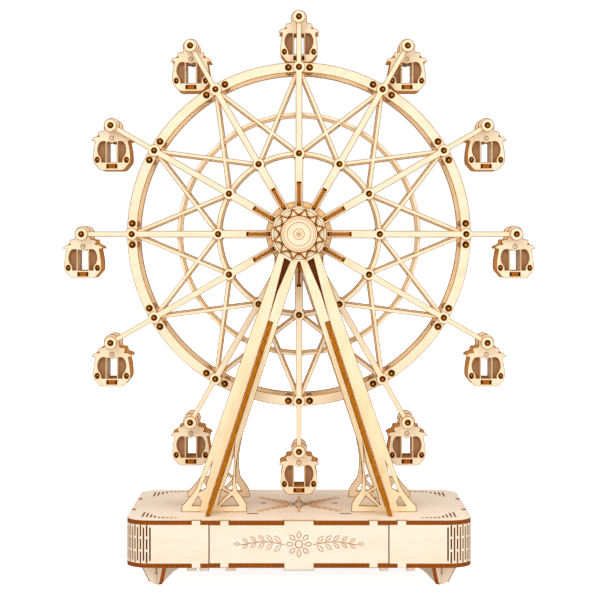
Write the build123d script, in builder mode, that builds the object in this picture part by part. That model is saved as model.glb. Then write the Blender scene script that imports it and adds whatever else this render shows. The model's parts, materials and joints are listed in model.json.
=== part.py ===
"""Hand cranked observation wheel, built from laser cut plywood with round dowels and a rubber belt.

Millimetres, +Z up. The wheel turns about a line along Y. The front of the toy faces -Y.
The origin is on the floor, under the middle of the whole toy with its crank.
"""

from build123d import *
from math import acos, atan, cos, degrees, pi, radians, sin, tan
import os

os.makedirs("parts", exist_ok=True)

# Plywood and fits
base_ply = 2.4
wheel_ply = 2.0
tab_fit = 0.1
running_fit = 0.06

# Base box
base_length = 198.0
base_depth = 120.0
corner_radius = 14.0
corner_flats = 7
foot_height = 11.9
foot_x = 81.1
foot_y = 46.0
foot_turn = 24.0
foot_outer_top = 10.6
foot_inner_top = 17.5
foot_tip_outer = 1.9
foot_tip_inner = 1.5
foot_flange = 2.7
foot_tab_length = 8.0
foot_lap_gap = 0.8
panel_height = 22.1
name_panel_length = 102.2
name_tab_overhang = 1.4
panel_gap = 0.1
kerf_pitch = 3.4
kerf_width = 0.5
kerf_columns = 6
kerf_end = 2.4
kerf_bridge = 1.6

# Tower
hub_height = 201.55
tower_gap = 55.0
leg_angle = 18.0
head_radius = 16.2
rear_head_half_width = 15.2
rear_head_drop = 20.0
star_outer = 16.0
star_inner = 11.2
star_rays = 12
cap_radius = 10.7
fin_top_height = 150.1
fin_reach = 16.5
fin_lip = 1.2
fin_slot_foot = 43.0
backing_ply = 1.2

# Wheel
spoke_count = 12
wheel_width = 33.0
axle_radius = 3.2
hub_disc_radius = 19.6
hub_inner_radius = 15.6
hub_sleeve_radius = 6.0
spoke_start = 9.6
inner_node = 48.0
rim_node = 99.3
pivot_radius = 129.0
spoke_inner_width = 4.8
spoke_outer_width = 3.8
arm_width = 3.0
eyelet_radius = 3.7
dowel_sides = 6
shaft_sides = 8
pulley_sides = 12
disc_sides = 20
ring_sides = 36
middle_ring_sides = 24
hub_fin_start = 17.0
hub_fin_end = 31.0
rim_outer = 102.1
rim_inner = 96.2
inner_ring_width = 2.5
middle_ring_radius = 71.5
middle_ring_width = 1.8
brace_width = 2.2
node_dowel_radius = 1.6
rim_dowel_radius = 1.8
rim_dowel_angle = 3.65
collar_radius = 6.5
collar_gap = 0.4

# Cabins
cabin_depth = 21.0
cabin_rod_radius = 1.5
washer_radius = 3.8
cabin_wall = 1.2
box_half_width = 9.3
lobe_radius = 4.8
shoulder_half_width = 8.0
eaves_half_width = 12.0
body_top_half_width = 9.6
body_half_width = 10.9
shoulder_top_drop = 3.3
shoulder_drop = 5.2
eaves_drop = 8.0
body_top_drop = 8.6
chamfer_drop = 21.4
cabin_height = 26.45
bottom_half_width = 6.6
door_half_width = 2.9
door_top_drop = 9.8
door_bottom_drop = 21.7
window_inner = 3.9
window_outer = 8.1
window_top_drop = 9.1
window_bottom_drop = 21.5
window_foot = 6.4
step_slot_length = 6.1
step_slot_height = 2.2
step_slot_drop = 23.95

# Drive train
gear_teeth = 12
gear_module = 1.575
tooth_backlash = 0.3
pressure_angle = 20.0
gear_thickness = 5.0
gear_count = 4
shaft_radius = 2.0
bearing_front_y = 45.5
bearing_rear_y = 55.0
bearing_half_width = 8.5
bearing_margin = 11.0
bracket_y = 16.0
bracket_tab_length = 10.0
shaft_overhang = 1.0
belt_radius = 0.75
belt_sides = 4
belt_fit = 0.2
belt_y = 23.5
small_pulley_radius = 3.6
belt_ratio = 5.0 / 3.0
pulley_flange = 1.5
pulley_width = 4.4
crank_arm_length = 19.0
crank_arm_width = 9.0
crank_gap = 1.8
knob_radius = 4.0
knob_length = 13.0
knob_neck = 2.6

# Heights and planes that follow from the sizes above
bottom_plate_top = foot_height + base_ply
top_plate_bottom = bottom_plate_top + panel_height
top_plate_top = top_plate_bottom + base_ply
drive_height = bottom_plate_top + panel_height / 2
half_length = base_length / 2
half_depth = base_depth / 2
tower_inner = tower_gap / 2
tower_outer = tower_inner + base_ply
wheel_face = wheel_width / 2
frame_back = wheel_face - wheel_ply
lattice_back = frame_back - wheel_ply
crank_arm_y = half_depth + crank_gap
crank_end_y = crank_arm_y + base_ply + knob_length
centre_y = (half_depth - crank_end_y) / 2
gear_spacing = gear_teeth * gear_module
pulley_shaft_x = (gear_count - 1) * gear_spacing
hub_pulley_radius = small_pulley_radius * belt_ratio
spoke_angle = 360.0 / spoke_count


def front(y):
    """Upright plane through y, seen from the front: x to the right, z up, normal towards -Y."""
    return Plane(origin=(0, y + centre_y, 0), x_dir=(1, 0, 0), z_dir=(0, -1, 0))


def hub_front(y, turn=0.0):
    """The same upright plane with its origin on the wheel's axis, turned about the axis."""
    across = (cos(radians(turn)), 0, sin(radians(turn)))
    return Plane(origin=(0, y + centre_y, hub_height), x_dir=across, z_dir=(0, -1, 0))


def level(z):
    """Horizontal plane at height z, centred on the base box."""
    return Plane(origin=(0, centre_y, z))


def turned(radius, sides, mode=Mode.ADD):
    """Many sided outline of a small round piece, with its corners on the radius."""
    RegularPolygon(radius, sides, mode=mode)


def bore(radius):
    """Many sided hole that a round piece of the radius just turns in."""
    RegularPolygon(radius, shaft_sides, major_radius=False, mode=Mode.SUBTRACT)


def save(name, built):
    built.part.label = name
    export_step(built.part, f"parts/{name}.step")


def slab_from(face_y, side, thickness):
    """Plane on which a plate is drawn so that it fills face_y to face_y + side * thickness."""
    return max(face_y, face_y + side * thickness)


# ---------------------------------------------------------------- base box


def base_outline():
    """Plate outline, rounded at the corners in short flats."""
    points = []
    for corner_x, corner_y, heading in ((1, 1, 0), (-1, 1, 90), (-1, -1, 180), (1, -1, 270)):
        for step in range(corner_flats + 1):
            angle = radians(heading + step * 90.0 / corner_flats)
            x = corner_x * (half_length - corner_radius) + corner_radius * cos(angle)
            points.append((x, corner_y * (half_depth - corner_radius) + corner_radius * sin(angle)))
    Polygon(*points, align=None)


panel_tabs = [(0.0, 17.1), (-42.4, 5.2), (42.4, 5.2)]
wrap_tabs = [(-58.5, 5.0), (58.5, 5.0)]
under_tabs = [(-61.2, 5.3), (-54.1, 5.2), (-38.9, 5.5), (48.4, 4.9), (63.6, 4.6)]
under_tab_y = -57.0
under_tab_drop = 2.2
foot_sides = [(-1, -1), (1, -1), (-1, 1), (1, 1)]
side_tab_y = 20.0
side_tab_length = 5.0
tower_tab_x = 51.0
tower_tab_length = 14.0
belt_climb = (top_plate_bottom + base_ply / 2 - drive_height) / (hub_height - drive_height)
belt_slot_x = pulley_shaft_x * (1 - belt_climb)
belt_slot_length = 2 * (hub_pulley_radius + belt_radius)
belt_slot_width = 2 * (belt_radius + 1.2)


def edge_notches(fit):
    """The notches in the plates' long and short edges that take the panels' tabs."""
    for side in (-1, 1):
        for x, length in panel_tabs + wrap_tabs:
            with Locations((x, side * (half_depth - base_ply / 2))):
                Rectangle(length + 2 * fit, base_ply + 2 * fit, mode=Mode.SUBTRACT)
        for y in (-side_tab_y, side_tab_y):
            with Locations((side * (half_length - base_ply / 2), y)):
                Rectangle(base_ply + 2 * fit, side_tab_length + 2 * fit, mode=Mode.SUBTRACT)


def bearing_slots(fit):
    for y in (bearing_front_y, bearing_rear_y):
        with Locations((0, y + base_ply / 2)):
            Rectangle(2 * bearing_half_width + 2 * fit, base_ply + 2 * fit, mode=Mode.SUBTRACT)


with BuildPart() as base_top_plate:
    with BuildSketch(level(top_plate_bottom)):
        base_outline()
        edge_notches(tab_fit)
        bearing_slots(tab_fit)
        for tower_y in (-tower_inner - base_ply / 2, tower_inner + base_ply / 2):
            with Locations((-tower_tab_x, tower_y), (tower_tab_x, tower_y)):
                Rectangle(tower_tab_length + 2 * tab_fit, base_ply + 2 * tab_fit, mode=Mode.SUBTRACT)
        with Locations((belt_slot_x, belt_y)):
            Rectangle(belt_slot_length, belt_slot_width, mode=Mode.SUBTRACT)
        with Locations((-27.0, -35.5), (27.0, -35.5)):
            Rectangle(6.0, base_ply, mode=Mode.SUBTRACT)
        with Locations((-21.5, 4.0), (21.5, 4.0)):
            Rectangle(3.0, base_ply, mode=Mode.SUBTRACT)
    extrude(amount=base_ply)
save("base_top_plate", base_top_plate)


with BuildPart() as base_bottom_plate:
    with BuildSketch(level(foot_height)):
        base_outline()
        edge_notches(tab_fit)
        bearing_slots(tab_fit)
        for side, fore_aft in foot_sides:
            turn = side * fore_aft * foot_turn
            with Locations(Location((side * foot_x, fore_aft * foot_y, 0), (0, 0, turn))):
                Rectangle(foot_tab_length + 2 * tab_fit, base_ply + 2 * tab_fit, mode=Mode.SUBTRACT)
                Rectangle(base_ply + 2 * tab_fit, foot_tab_length + 2 * tab_fit, mode=Mode.SUBTRACT)
        with Locations((pulley_shaft_x, bracket_y + base_ply / 2)):
            Rectangle(bracket_tab_length + 2 * tab_fit, base_ply + 2 * tab_fit, mode=Mode.SUBTRACT)
    extrude(amount=base_ply)
    with BuildSketch(level(foot_height)):
        for middle, length in under_tabs:
            with Locations((middle, under_tab_y + base_ply / 2)):
                Rectangle(length, base_ply)
    extrude(amount=-under_tab_drop)
save("base_bottom_plate", base_bottom_plate)


def panel(side, overhang, hole_radius=0.0):
    """Straight panel with its tabs, on the front (side -1) or the back (side +1)."""
    with BuildPart() as built:
        with BuildSketch(front(slab_from(side * half_depth, -side, base_ply))):
            with Locations((0, drive_height)):
                Rectangle(name_panel_length, panel_height)
            for x, length in panel_tabs:
                for z in (bottom_plate_top - base_ply / 2, top_plate_bottom + base_ply / 2):
                    with Locations((x, z)):
                        Rectangle(length, base_ply)
            with Locations((0, bottom_plate_top)):
                Rectangle(panel_tabs[0][1], base_ply + overhang, align=(Align.CENTER, Align.MAX))
            if hole_radius:
                with Locations((0, drive_height)):
                    bore(hole_radius)
        extrude(amount=base_ply)
    return built


save("front_panel", panel(-1, name_tab_overhang))
save("rear_panel", panel(1, 0.0, shaft_radius + 0.6))


def kerf_turns():
    """Angles of the flexing cuts away from a corner's middle."""
    for index in range(kerf_columns):
        yield (index - (kerf_columns - 1) / 2) * degrees(kerf_pitch / corner_radius)


def bent_outline(inset, mode=Mode.ADD):
    """Outline of the bent panels, inset from the plates' edge, flat between the flexing cuts."""
    radius = corner_radius - inset
    points = []
    for corner_x, corner_y, heading in ((1, 1, 45), (-1, 1, 135), (-1, -1, 225), (1, -1, 315)):
        for turn in (-45, *kerf_turns(), 45):
            angle = radians(heading + turn)
            x = corner_x * (half_length - corner_radius) + radius * cos(angle)
            points.append((x, corner_y * (half_depth - corner_radius) + radius * sin(angle)))
    Polygon(*points, align=None, mode=mode)


def kerf_slits(side):
    """Flexing cuts round both corners of a side wrap, in two alternating columns."""
    third = panel_height / 3
    column_a = [
        (-1.0, third - kerf_bridge / 2),
        (third + kerf_bridge / 2, 2 * third - kerf_bridge / 2),
        (2 * third + kerf_bridge / 2, panel_height + 1.0),
    ]
    column_b = [(kerf_end, panel_height - kerf_end)]
    for fore_aft in (-1, 1):
        corner = (side * (half_length - corner_radius), fore_aft * (half_depth - corner_radius))
        for index, turn in enumerate(kerf_turns()):
            heading = 45 * fore_aft + turn if side > 0 else 180 - 45 * fore_aft + turn
            for low, high in column_a if index % 2 == 0 else column_b:
                with BuildSketch(level(bottom_plate_top + low)) as slit:
                    reach = Location((corner_radius - base_ply / 2, 0, 0))
                    with Locations(Location((corner[0], corner[1], 0), (0, 0, heading)) * reach):
                        Rectangle(base_ply + 1.0, kerf_width)
                extrude(slit.sketch, amount=high - low, mode=Mode.SUBTRACT)


def side_wrap(side):
    """U shaped panel, bent round two corners, with tabs into both plates."""
    inner_end = name_panel_length / 2 + panel_gap
    with BuildPart() as built:
        with BuildSketch(level(bottom_plate_top)):
            bent_outline(0)
            bent_outline(base_ply, Mode.SUBTRACT)
            with Locations((side * (inner_end - base_length / 2), 0)):
                Rectangle(base_length, base_depth + 1.0, mode=Mode.SUBTRACT)
        extrude(amount=panel_height)
        kerf_slits(side)
        for plate_z in (foot_height, top_plate_bottom):
            with BuildSketch(level(plate_z)):
                for fore_aft in (-1, 1):
                    with Locations((side * wrap_tabs[1][0], fore_aft * (half_depth - base_ply / 2))):
                        Rectangle(wrap_tabs[1][1], base_ply)
                    with Locations((side * (half_length - base_ply / 2), fore_aft * side_tab_y)):
                        Rectangle(base_ply, side_tab_length)
            extrude(amount=base_ply)
    return built


save("side_wrap_left", side_wrap(-1))
save("side_wrap_right", side_wrap(1))


def foot_profile(lap_from_top):
    """Bracket, bulging outside and hollowed inside, with half of a cross lap."""
    lap_height = foot_height / 2
    Polygon(
        (-foot_inner_top, foot_height),
        (-foot_inner_top, foot_height - foot_flange),
        (-0.72 * foot_inner_top, foot_height - 1.2 * foot_flange),
        (-0.51 * foot_inner_top, 0.56 * foot_height),
        (-foot_tip_inner, 0),
        (foot_tip_outer, 0),
        (0.48 * foot_outer_top, 0.13 * foot_height),
        (foot_outer_top, foot_height),
        align=None,
    )
    with Locations((0, foot_height + base_ply / 2)):
        Rectangle(foot_tab_length, base_ply)
    if lap_from_top:
        low, width = lap_height, base_ply + 2 * tab_fit + foot_lap_gap
    else:
        low, width = lap_height + tab_fit - foot_height, base_ply + 2 * tab_fit
    with Locations((width / 2 - base_ply / 2 - tab_fit, low)):
        Rectangle(width, foot_height, align=(Align.CENTER, Align.MIN), mode=Mode.SUBTRACT)


def foot(side, fore_aft):
    """Two crossing brackets under one corner of the base, their hollows turned inwards."""
    at = Vector(side * foot_x, fore_aft * foot_y + centre_y, 0)
    turn = radians(foot_turn)
    outwards = Vector(side * cos(turn), fore_aft * sin(turn), 0)
    fore = Vector(-side * sin(turn), fore_aft * cos(turn), 0)
    with BuildPart() as built:
        for direction, from_top in ((outwards, True), (fore, False)):
            normal = direction.cross(Vector(0, 0, 1))
            with BuildSketch(Plane(origin=at - normal * (base_ply / 2), x_dir=direction, z_dir=normal)):
                foot_profile(from_top)
            extrude(amount=base_ply)
    return built


for foot_name, (side, fore_aft) in zip(
    ("foot_front_left", "foot_front_right", "foot_rear_left", "foot_rear_right"),
    foot_sides,
):
    save(foot_name, foot(side, fore_aft))


# ---------------------------------------------------------------- tower


def leg_x(z):
    """Distance of the leg's centre line from the middle of the toy at height z."""
    return (hub_height - z) * tan(radians(leg_angle))


def leg_cut(points):
    Polygon(*points, align=None, mode=Mode.SUBTRACT)


def leg_profile():
    """Left leg: straight from the hub, flared into a pierced foot on the base."""
    foot_z = top_plate_top
    outer_edge = [(-10.9, 194.0), (-59.8, 53.5), (-64.2, 47.3), (-68.8, 42.2), (-68.8, foot_z)]
    inner_edge = [(-30.5, foot_z), (-30.9, 43.8), (-36.0, 51.2), (-36.8, 57.5), (-36.8, 66.0), (-34.4, 79.6)]
    Polygon((0, hub_height), *outer_edge, *inner_edge, (0, 186.6), align=None)
    with Locations((-tower_tab_x, top_plate_bottom + base_ply / 2)):
        Rectangle(tower_tab_length, base_ply)


def leg_cuts():
    leg_cut([(-37.8, 76.3), (-43.8, 53.9), (-39.3, 51.2)])
    leg_cut([(-45.3, 52.0), (-41.3, 50.1), (-47.3, 43.4)])
    leg_cut([(-39.1, 48.3), (-35.4, 42.6), (-45.7, 42.3)])
    leg_cut([(-51.4, 66.3), (-58.0, 50.9), (-54.8, 52.8)])
    leg_cut([(-59.1, 47.9), (-57.2, 44.9), (-58.0, 42.5), (-62.5, 42.6)])
    leg_cut(upper_cut)
    slot_height = (fin_top_height - fin_slot_foot) / cos(radians(leg_angle))
    middle_z = (fin_top_height + fin_slot_foot) / 2
    with Locations(Location((-leg_x(middle_z), middle_z, 0), (0, 0, -leg_angle))):
        Rectangle(base_ply + 2 * tab_fit, slot_height, mode=Mode.SUBTRACT)


backing_outline = [(-11.4, 189.0), (-4.0, 186.4), (-11.7, 166.0), (-16.6, 157.4)]
upper_cut = [(-8.5, 187.4), (-5.2, 185.5), (-13.0, 167.4), (-15.6, 159.0)]


def tower_plate(plane, at_front):
    """A-frame of two legs that meet at the axle's bearing."""
    with BuildPart() as built:
        with BuildSketch(plane):
            leg_profile()
            leg_cuts()
            mirror(about=Plane.YZ)
            with Locations((0, hub_height)):
                turned(head_radius, disc_sides)
            if not at_front:
                with Locations((0, hub_height)):
                    Rectangle(
                        2 * rear_head_half_width,
                        rear_head_drop,
                        align=(Align.CENTER, Align.MAX),
                    )
            with Locations((0, hub_height)):
                bore(axle_radius + running_fit)
        extrude(amount=base_ply)
        if at_front:
            with BuildSketch(front(backing_ply - tower_inner)):
                Polygon(*backing_outline, align=None)
                mirror(about=Plane.YZ)
            extrude(amount=backing_ply)
    return built


save("front_tower", tower_plate(front(-tower_inner), True))
save("rear_tower", tower_plate(front(tower_outer), False))


def tower_fins(side):
    """Two tapering buttresses, each in its leg's slot and flush with the leg's inner face."""
    lean = radians(leg_angle)
    lip_y = side * (tower_outer + fin_lip)
    foot_reach_y = side * (tower_inner + fin_reach + base_ply)
    inner_y = side * tower_inner
    with BuildPart() as built:
        for hand in (-1, 1):
            along = Vector(hand * sin(lean), 0, -cos(lean))
            normal = along.cross(Vector(0, 1, 0))
            origin = Vector(0, centre_y, hub_height) - normal * (base_ply / 2)
            top = (hub_height - fin_top_height) / cos(lean)
            slot_end = (hub_height - fin_slot_foot - 0.3) / cos(lean)
            floor = (hub_height - top_plate_top) / cos(lean) + base_ply
            with BuildSketch(Plane(origin=origin, x_dir=along, z_dir=normal)):
                with BuildLine():
                    Polyline(
                        (top, inner_y),
                        (slot_end, inner_y),
                        (slot_end, side * tower_outer),
                        (floor, side * tower_outer),
                        (floor, foot_reach_y),
                        (floor - 2 * base_ply, foot_reach_y),
                        (top, lip_y),
                        close=True,
                    )
                make_face()
            extrude(amount=base_ply)
        split(bisect_by=Plane.XY.offset(top_plate_top), keep=Keep.TOP)
    return built


save("front_tower_fins", tower_fins(-1))
save("rear_tower_fins", tower_fins(1))


def star_points():
    half_step = 180.0 / star_rays
    for index in range(2 * star_rays):
        radius = star_outer if index % 2 == 0 else star_inner
        angle = radians(half_step * (index + 1))
        yield radius * cos(angle), radius * sin(angle)


star_face_y = -tower_outer - wheel_ply

with BuildPart() as sun_star:
    with BuildSketch(hub_front(-tower_outer)):
        with BuildLine():
            Polyline(*star_points(), close=True)
        make_face()
        bore(axle_radius + running_fit)
    extrude(amount=wheel_ply)
save("sun_star", sun_star)

with BuildPart() as front_cap:
    with BuildSketch(hub_front(star_face_y)):
        turned(cap_radius, disc_sides)
        bore(axle_radius + running_fit)
    extrude(amount=wheel_ply)
save("front_cap", front_cap)

with BuildPart() as rear_cap:
    with BuildSketch(hub_front(tower_outer + wheel_ply)):
        turned(cap_radius, disc_sides)
        bore(axle_radius + running_fit)
    extrude(amount=wheel_ply)
save("rear_cap", rear_cap)


# ---------------------------------------------------------------- wheel


def spoke_profile():
    """One spoke drawn upwards from the axle, with an eye at the rim and one at its cabin's rod."""
    eye_half = eyelet_radius / 2
    eye_rise = eyelet_radius * sin(radians(60.0))
    right_side = [
        (spoke_inner_width / 2, spoke_start),
        (spoke_outer_width / 2, rim_node - eye_rise),
        (eyelet_radius, rim_node),
        (arm_width / 2, rim_node + eye_rise),
        (arm_width / 2, pivot_radius - eye_rise),
        (eyelet_radius, pivot_radius),
        (eye_half, pivot_radius + eye_rise),
    ]
    left_side = [(-x, z) for x, z in reversed(right_side)]
    Polygon(*right_side, *left_side, align=None)
    with Locations((0, (hub_fin_start + hub_fin_end) / 2)):
        Rectangle(
            wheel_ply + 2 * tab_fit,
            hub_fin_end - hub_fin_start + 2 * tab_fit,
            mode=Mode.SUBTRACT,
        )


def spokes(face_y):
    """Twelve spokes, each a strip of its own, all turned from one."""
    with BuildPart() as built:
        for index in range(spoke_count):
            with BuildSketch(hub_front(face_y, index * spoke_angle)):
                spoke_profile()
            extrude(amount=wheel_ply)
    return built


save("front_spokes", spokes(-frame_back))
save("rear_spokes", spokes(wheel_face))


def node_locations(radius, offset=0.0):
    return PolarLocations(radius, spoke_count, start_angle=90.0 + offset)


def rim(face_y):
    with BuildPart() as built:
        with BuildSketch(hub_front(face_y)):
            turned(rim_outer, ring_sides)
            turned(rim_inner, ring_sides, Mode.SUBTRACT)
        extrude(amount=wheel_ply)
    return built


save("front_rim", rim(-lattice_back))
save("rear_rim", rim(frame_back))


def lattice(face_y):
    """Inner ring and crossing braces, cut as one piece that fits inside the rim."""
    step = radians(spoke_angle)
    from_node = Vector(0, rim_node)
    with BuildPart() as built:
        with BuildSketch(hub_front(face_y)):
            turned(inner_node + inner_ring_width / 2, disc_sides)
            turned(inner_node - inner_ring_width / 2, disc_sides, Mode.SUBTRACT)
            for hand in (-1, 1):
                to_node = Vector(hand * inner_node * sin(step), inner_node * cos(step))
                middle = (from_node + to_node) * 0.5
                run = to_node - from_node
                heading = degrees(atan(run.Y / run.X))
                for index in range(spoke_count):
                    turn = Rotation(0, 0, index * spoke_angle)
                    with Locations(turn * Location((middle.X, middle.Y, 0), (0, 0, heading))):
                        Rectangle(run.length, brace_width)
            turned(rim_inner - tab_fit, ring_sides, Mode.INTERSECT)
        extrude(amount=wheel_ply)
    return built


save("front_lattice", lattice(-lattice_back))
save("rear_lattice", lattice(frame_back))


def middle_ring(face_y):
    with BuildPart() as built:
        with BuildSketch(hub_front(face_y)):
            turned(middle_ring_radius + middle_ring_width / 2, middle_ring_sides)
            turned(middle_ring_radius - middle_ring_width / 2, middle_ring_sides, Mode.SUBTRACT)
        extrude(amount=wheel_ply)
    return built


save("front_middle_ring", middle_ring(-lattice_back + wheel_ply))
save("rear_middle_ring", middle_ring(lattice_back))

with BuildPart() as hub_fins:
    for index in range(spoke_count):
        with BuildSketch(hub_front(wheel_face, index * spoke_angle)):
            with Locations((0, (hub_fin_start + hub_fin_end) / 2)):
                Rectangle(wheel_ply, hub_fin_end - hub_fin_start)
        extrude(amount=wheel_width)
save("hub_fins", hub_fins)

collar_length = tower_inner - wheel_face - wheel_ply - collar_gap


def hub_ring(far_y, radius, thickness):
    """Ring on the axle that ends at far_y and reaches thickness forward."""
    with BuildSketch(hub_front(far_y)) as ring:
        turned(radius, disc_sides)
        turned(axle_radius, shaft_sides, Mode.SUBTRACT)
    extrude(ring.sketch, amount=thickness)


with BuildPart() as front_hub_discs:
    hub_ring(-lattice_back, hub_inner_radius, wheel_ply)
    hub_ring(-wheel_face, hub_disc_radius, wheel_ply)
    hub_ring(-wheel_face - wheel_ply, collar_radius, collar_length)
save("front_hub_discs", front_hub_discs)

with BuildPart() as rear_hub_discs:
    hub_ring(frame_back, hub_inner_radius, wheel_ply)
    hub_ring(wheel_face + wheel_ply, hub_disc_radius, wheel_ply)
save("rear_hub_discs", rear_hub_discs)

with BuildPart() as hub_sleeve:
    hub_ring(lattice_back, hub_sleeve_radius, 2 * lattice_back)
save("hub_sleeve", hub_sleeve)

axle_half_length = tower_outer + 2 * wheel_ply

with BuildPart() as wheel_axle:
    with BuildSketch(hub_front(axle_half_length)):
        turned(axle_radius, shaft_sides)
    extrude(amount=2 * axle_half_length)
save("wheel_axle", wheel_axle)

with BuildPart() as wheel_dowels:
    with BuildSketch(hub_front(lattice_back)):
        with node_locations(inner_node):
            RegularPolygon(node_dowel_radius, dowel_sides)
        for offset in (-rim_dowel_angle, rim_dowel_angle):
            with node_locations(rim_node, offset):
                RegularPolygon(rim_dowel_radius, dowel_sides)
    extrude(amount=2 * lattice_back)
save("wheel_dowels", wheel_dowels)

with BuildPart() as cabin_rods:
    with BuildSketch(hub_front(frame_back)):
        with node_locations(pivot_radius):
            RegularPolygon(cabin_rod_radius, dowel_sides)
    extrude(amount=2 * frame_back)
save("cabin_rods", cabin_rods)

with BuildPart() as cabin_washers:
    for face_y in (-wheel_face, wheel_face + wheel_ply):
        with BuildSketch(hub_front(face_y)):
            with node_locations(pivot_radius):
                RegularPolygon(washer_radius, dowel_sides)
        extrude(amount=wheel_ply)
save("cabin_washers", cabin_washers)


# ---------------------------------------------------------------- cabins


def cabin_outline():
    """Domed eaves over a rounded body, hung from the lobe at the origin."""
    right_side = [
        (0.5 * lobe_radius, lobe_radius),
        (lobe_radius, 0),
        (shoulder_half_width, -shoulder_top_drop),
        (shoulder_half_width - 0.5, -shoulder_drop),
        (eaves_half_width, -eaves_drop),
        (body_top_half_width, -body_top_drop),
        (body_half_width, -chamfer_drop),
        (bottom_half_width, -cabin_height),
    ]
    left_side = [(-x, z) for x, z in reversed(right_side)]
    Polygon(*right_side, *left_side, align=None)


def cabin_plate(with_windows):
    cabin_outline()
    with Locations((0, -(door_top_drop + door_bottom_drop) / 2)):
        Rectangle(2 * door_half_width, door_bottom_drop - door_top_drop, mode=Mode.SUBTRACT)
    if with_windows:
        for hand in (-1, 1):
            Polygon(
                (hand * window_inner, -window_top_drop),
                (hand * window_outer, -window_top_drop),
                (hand * window_foot, -window_bottom_drop),
                (hand * window_inner, -window_bottom_drop),
                align=None,
                mode=Mode.SUBTRACT,
            )
        with Locations((0, -step_slot_drop)):
            Rectangle(step_slot_length, step_slot_height, mode=Mode.SUBTRACT)
    RegularPolygon(cabin_rod_radius + running_fit, dowel_sides, major_radius=False, mode=Mode.SUBTRACT)


def cabin(pivot_x, pivot_z):
    """Two plates on a box of floor, roof and side walls, hung from its rod."""
    inner_y = cabin_depth / 2 - wheel_ply - tab_fit
    box_height = chamfer_drop - shoulder_drop

    def plane_at(y):
        return Plane(origin=(pivot_x, y + centre_y, pivot_z), x_dir=(1, 0, 0), z_dir=(0, -1, 0))

    with BuildPart() as built:
        for plate_y, with_windows in ((wheel_ply - cabin_depth / 2, True), (cabin_depth / 2, False)):
            with BuildSketch(plane_at(plate_y)):
                cabin_plate(with_windows)
            extrude(amount=wheel_ply)
        with BuildSketch(plane_at(inner_y)):
            with Locations((0, -shoulder_drop)):
                Rectangle(2 * box_half_width, box_height, align=(Align.CENTER, Align.MAX))
            with Locations((0, -shoulder_drop - cabin_wall)):
                Rectangle(
                    2 * (box_half_width - cabin_wall),
                    box_height - 2 * cabin_wall,
                    align=(Align.CENTER, Align.MAX),
                    mode=Mode.SUBTRACT,
                )
        extrude(amount=2 * inner_y)
    return built


for index in range(spoke_count):
    heading = radians(90.0 - index * spoke_angle)
    pivot_x = pivot_radius * cos(heading)
    pivot_z = hub_height + pivot_radius * sin(heading)
    save(f"cabin_{index + 1:02d}", cabin(pivot_x, pivot_z))


# ---------------------------------------------------------------- drive train


def tooth_outline(turn):
    """Corners of one gear: straight flanked teeth, thinned for backlash, on a round root."""
    pitch_radius = gear_spacing / 2
    flank_lean = degrees(gear_module * tan(radians(pressure_angle)) / pitch_radius)
    half_tooth = degrees((pi * gear_module / 2 - tooth_backlash) / 2 / pitch_radius)
    root = (pitch_radius - 1.2 * gear_module, half_tooth + flank_lean)
    tip = (pitch_radius + 0.9 * gear_module, half_tooth - 0.9 * flank_lean)
    corners = []
    for index in range(gear_teeth):
        middle = turn + index * 360.0 / gear_teeth
        for radius, offset in ((root[0], -root[1]), (tip[0], -tip[1]), (tip[0], tip[1]), (root[0], root[1])):
            angle = radians(middle + offset)
            corners.append((radius * cos(angle), radius * sin(angle)))
    return corners


def shaft_plane(index, y):
    """Upright plane through y with its origin on one of the drive train's shafts."""
    return Plane(
        origin=(index * gear_spacing, y + centre_y, drive_height),
        x_dir=(1, 0, 0),
        z_dir=(0, -1, 0),
    )


gear_back_y = (bearing_front_y + base_ply + bearing_rear_y + gear_thickness) / 2


def gear(index, fit=0.0):
    """Gear number index of the row, turned so that its teeth stand in its neighbour's gaps."""
    with BuildPart() as built:
        with BuildSketch(shaft_plane(index, gear_back_y)):
            Polygon(*tooth_outline(180.0 / gear_teeth if index % 2 else 0.0), align=None)
            if fit:
                bore(shaft_radius + fit)
            else:
                turned(shaft_radius, shaft_sides, Mode.SUBTRACT)
        extrude(amount=gear_thickness)
    return built


save("crank_gear", gear(0))
save("idler_gear_1", gear(1, running_fit))
save("idler_gear_2", gear(2, running_fit))
save("pulley_gear", gear(3))


def bearing_plate(y):
    """Upright plate inside the base that carries the row of shafts, with a tab up and down."""
    middle_x = pulley_shaft_x / 2
    with BuildPart() as built:
        with BuildSketch(shaft_plane(0, y + base_ply)):
            with Locations((middle_x, 0)):
                Rectangle(pulley_shaft_x + 2 * bearing_margin, panel_height)
            Rectangle(2 * bearing_half_width, panel_height + 2 * base_ply)
            with Locations((0, 0), (pulley_shaft_x, 0)):
                bore(shaft_radius + running_fit)
            with Locations((gear_spacing, 0), (2 * gear_spacing, 0)):
                turned(shaft_radius, shaft_sides, Mode.SUBTRACT)
        extrude(amount=base_ply)
    return built


save("front_bearing_plate", bearing_plate(bearing_front_y))
save("rear_bearing_plate", bearing_plate(bearing_rear_y))

with BuildPart() as pulley_bracket:
    with BuildSketch(shaft_plane(gear_count - 1, bracket_y + base_ply)):
        Rectangle(2 * bearing_margin, panel_height)
        with Locations((0, -panel_height / 2 - base_ply / 2)):
            Rectangle(bracket_tab_length, base_ply)
        bore(shaft_radius + running_fit)
    extrude(amount=base_ply)
save("pulley_bracket", pulley_bracket)


def shaft(index, start_y, end_y):
    with BuildSketch(shaft_plane(index, end_y)) as section:
        turned(shaft_radius, shaft_sides)
    extrude(section.sketch, amount=end_y - start_y)


bearing_back_y = bearing_rear_y + base_ply

with BuildPart() as idler_pins:
    shaft(1, bearing_front_y, bearing_back_y)
    shaft(2, bearing_front_y, bearing_back_y)
save("idler_pins", idler_pins)

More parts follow.
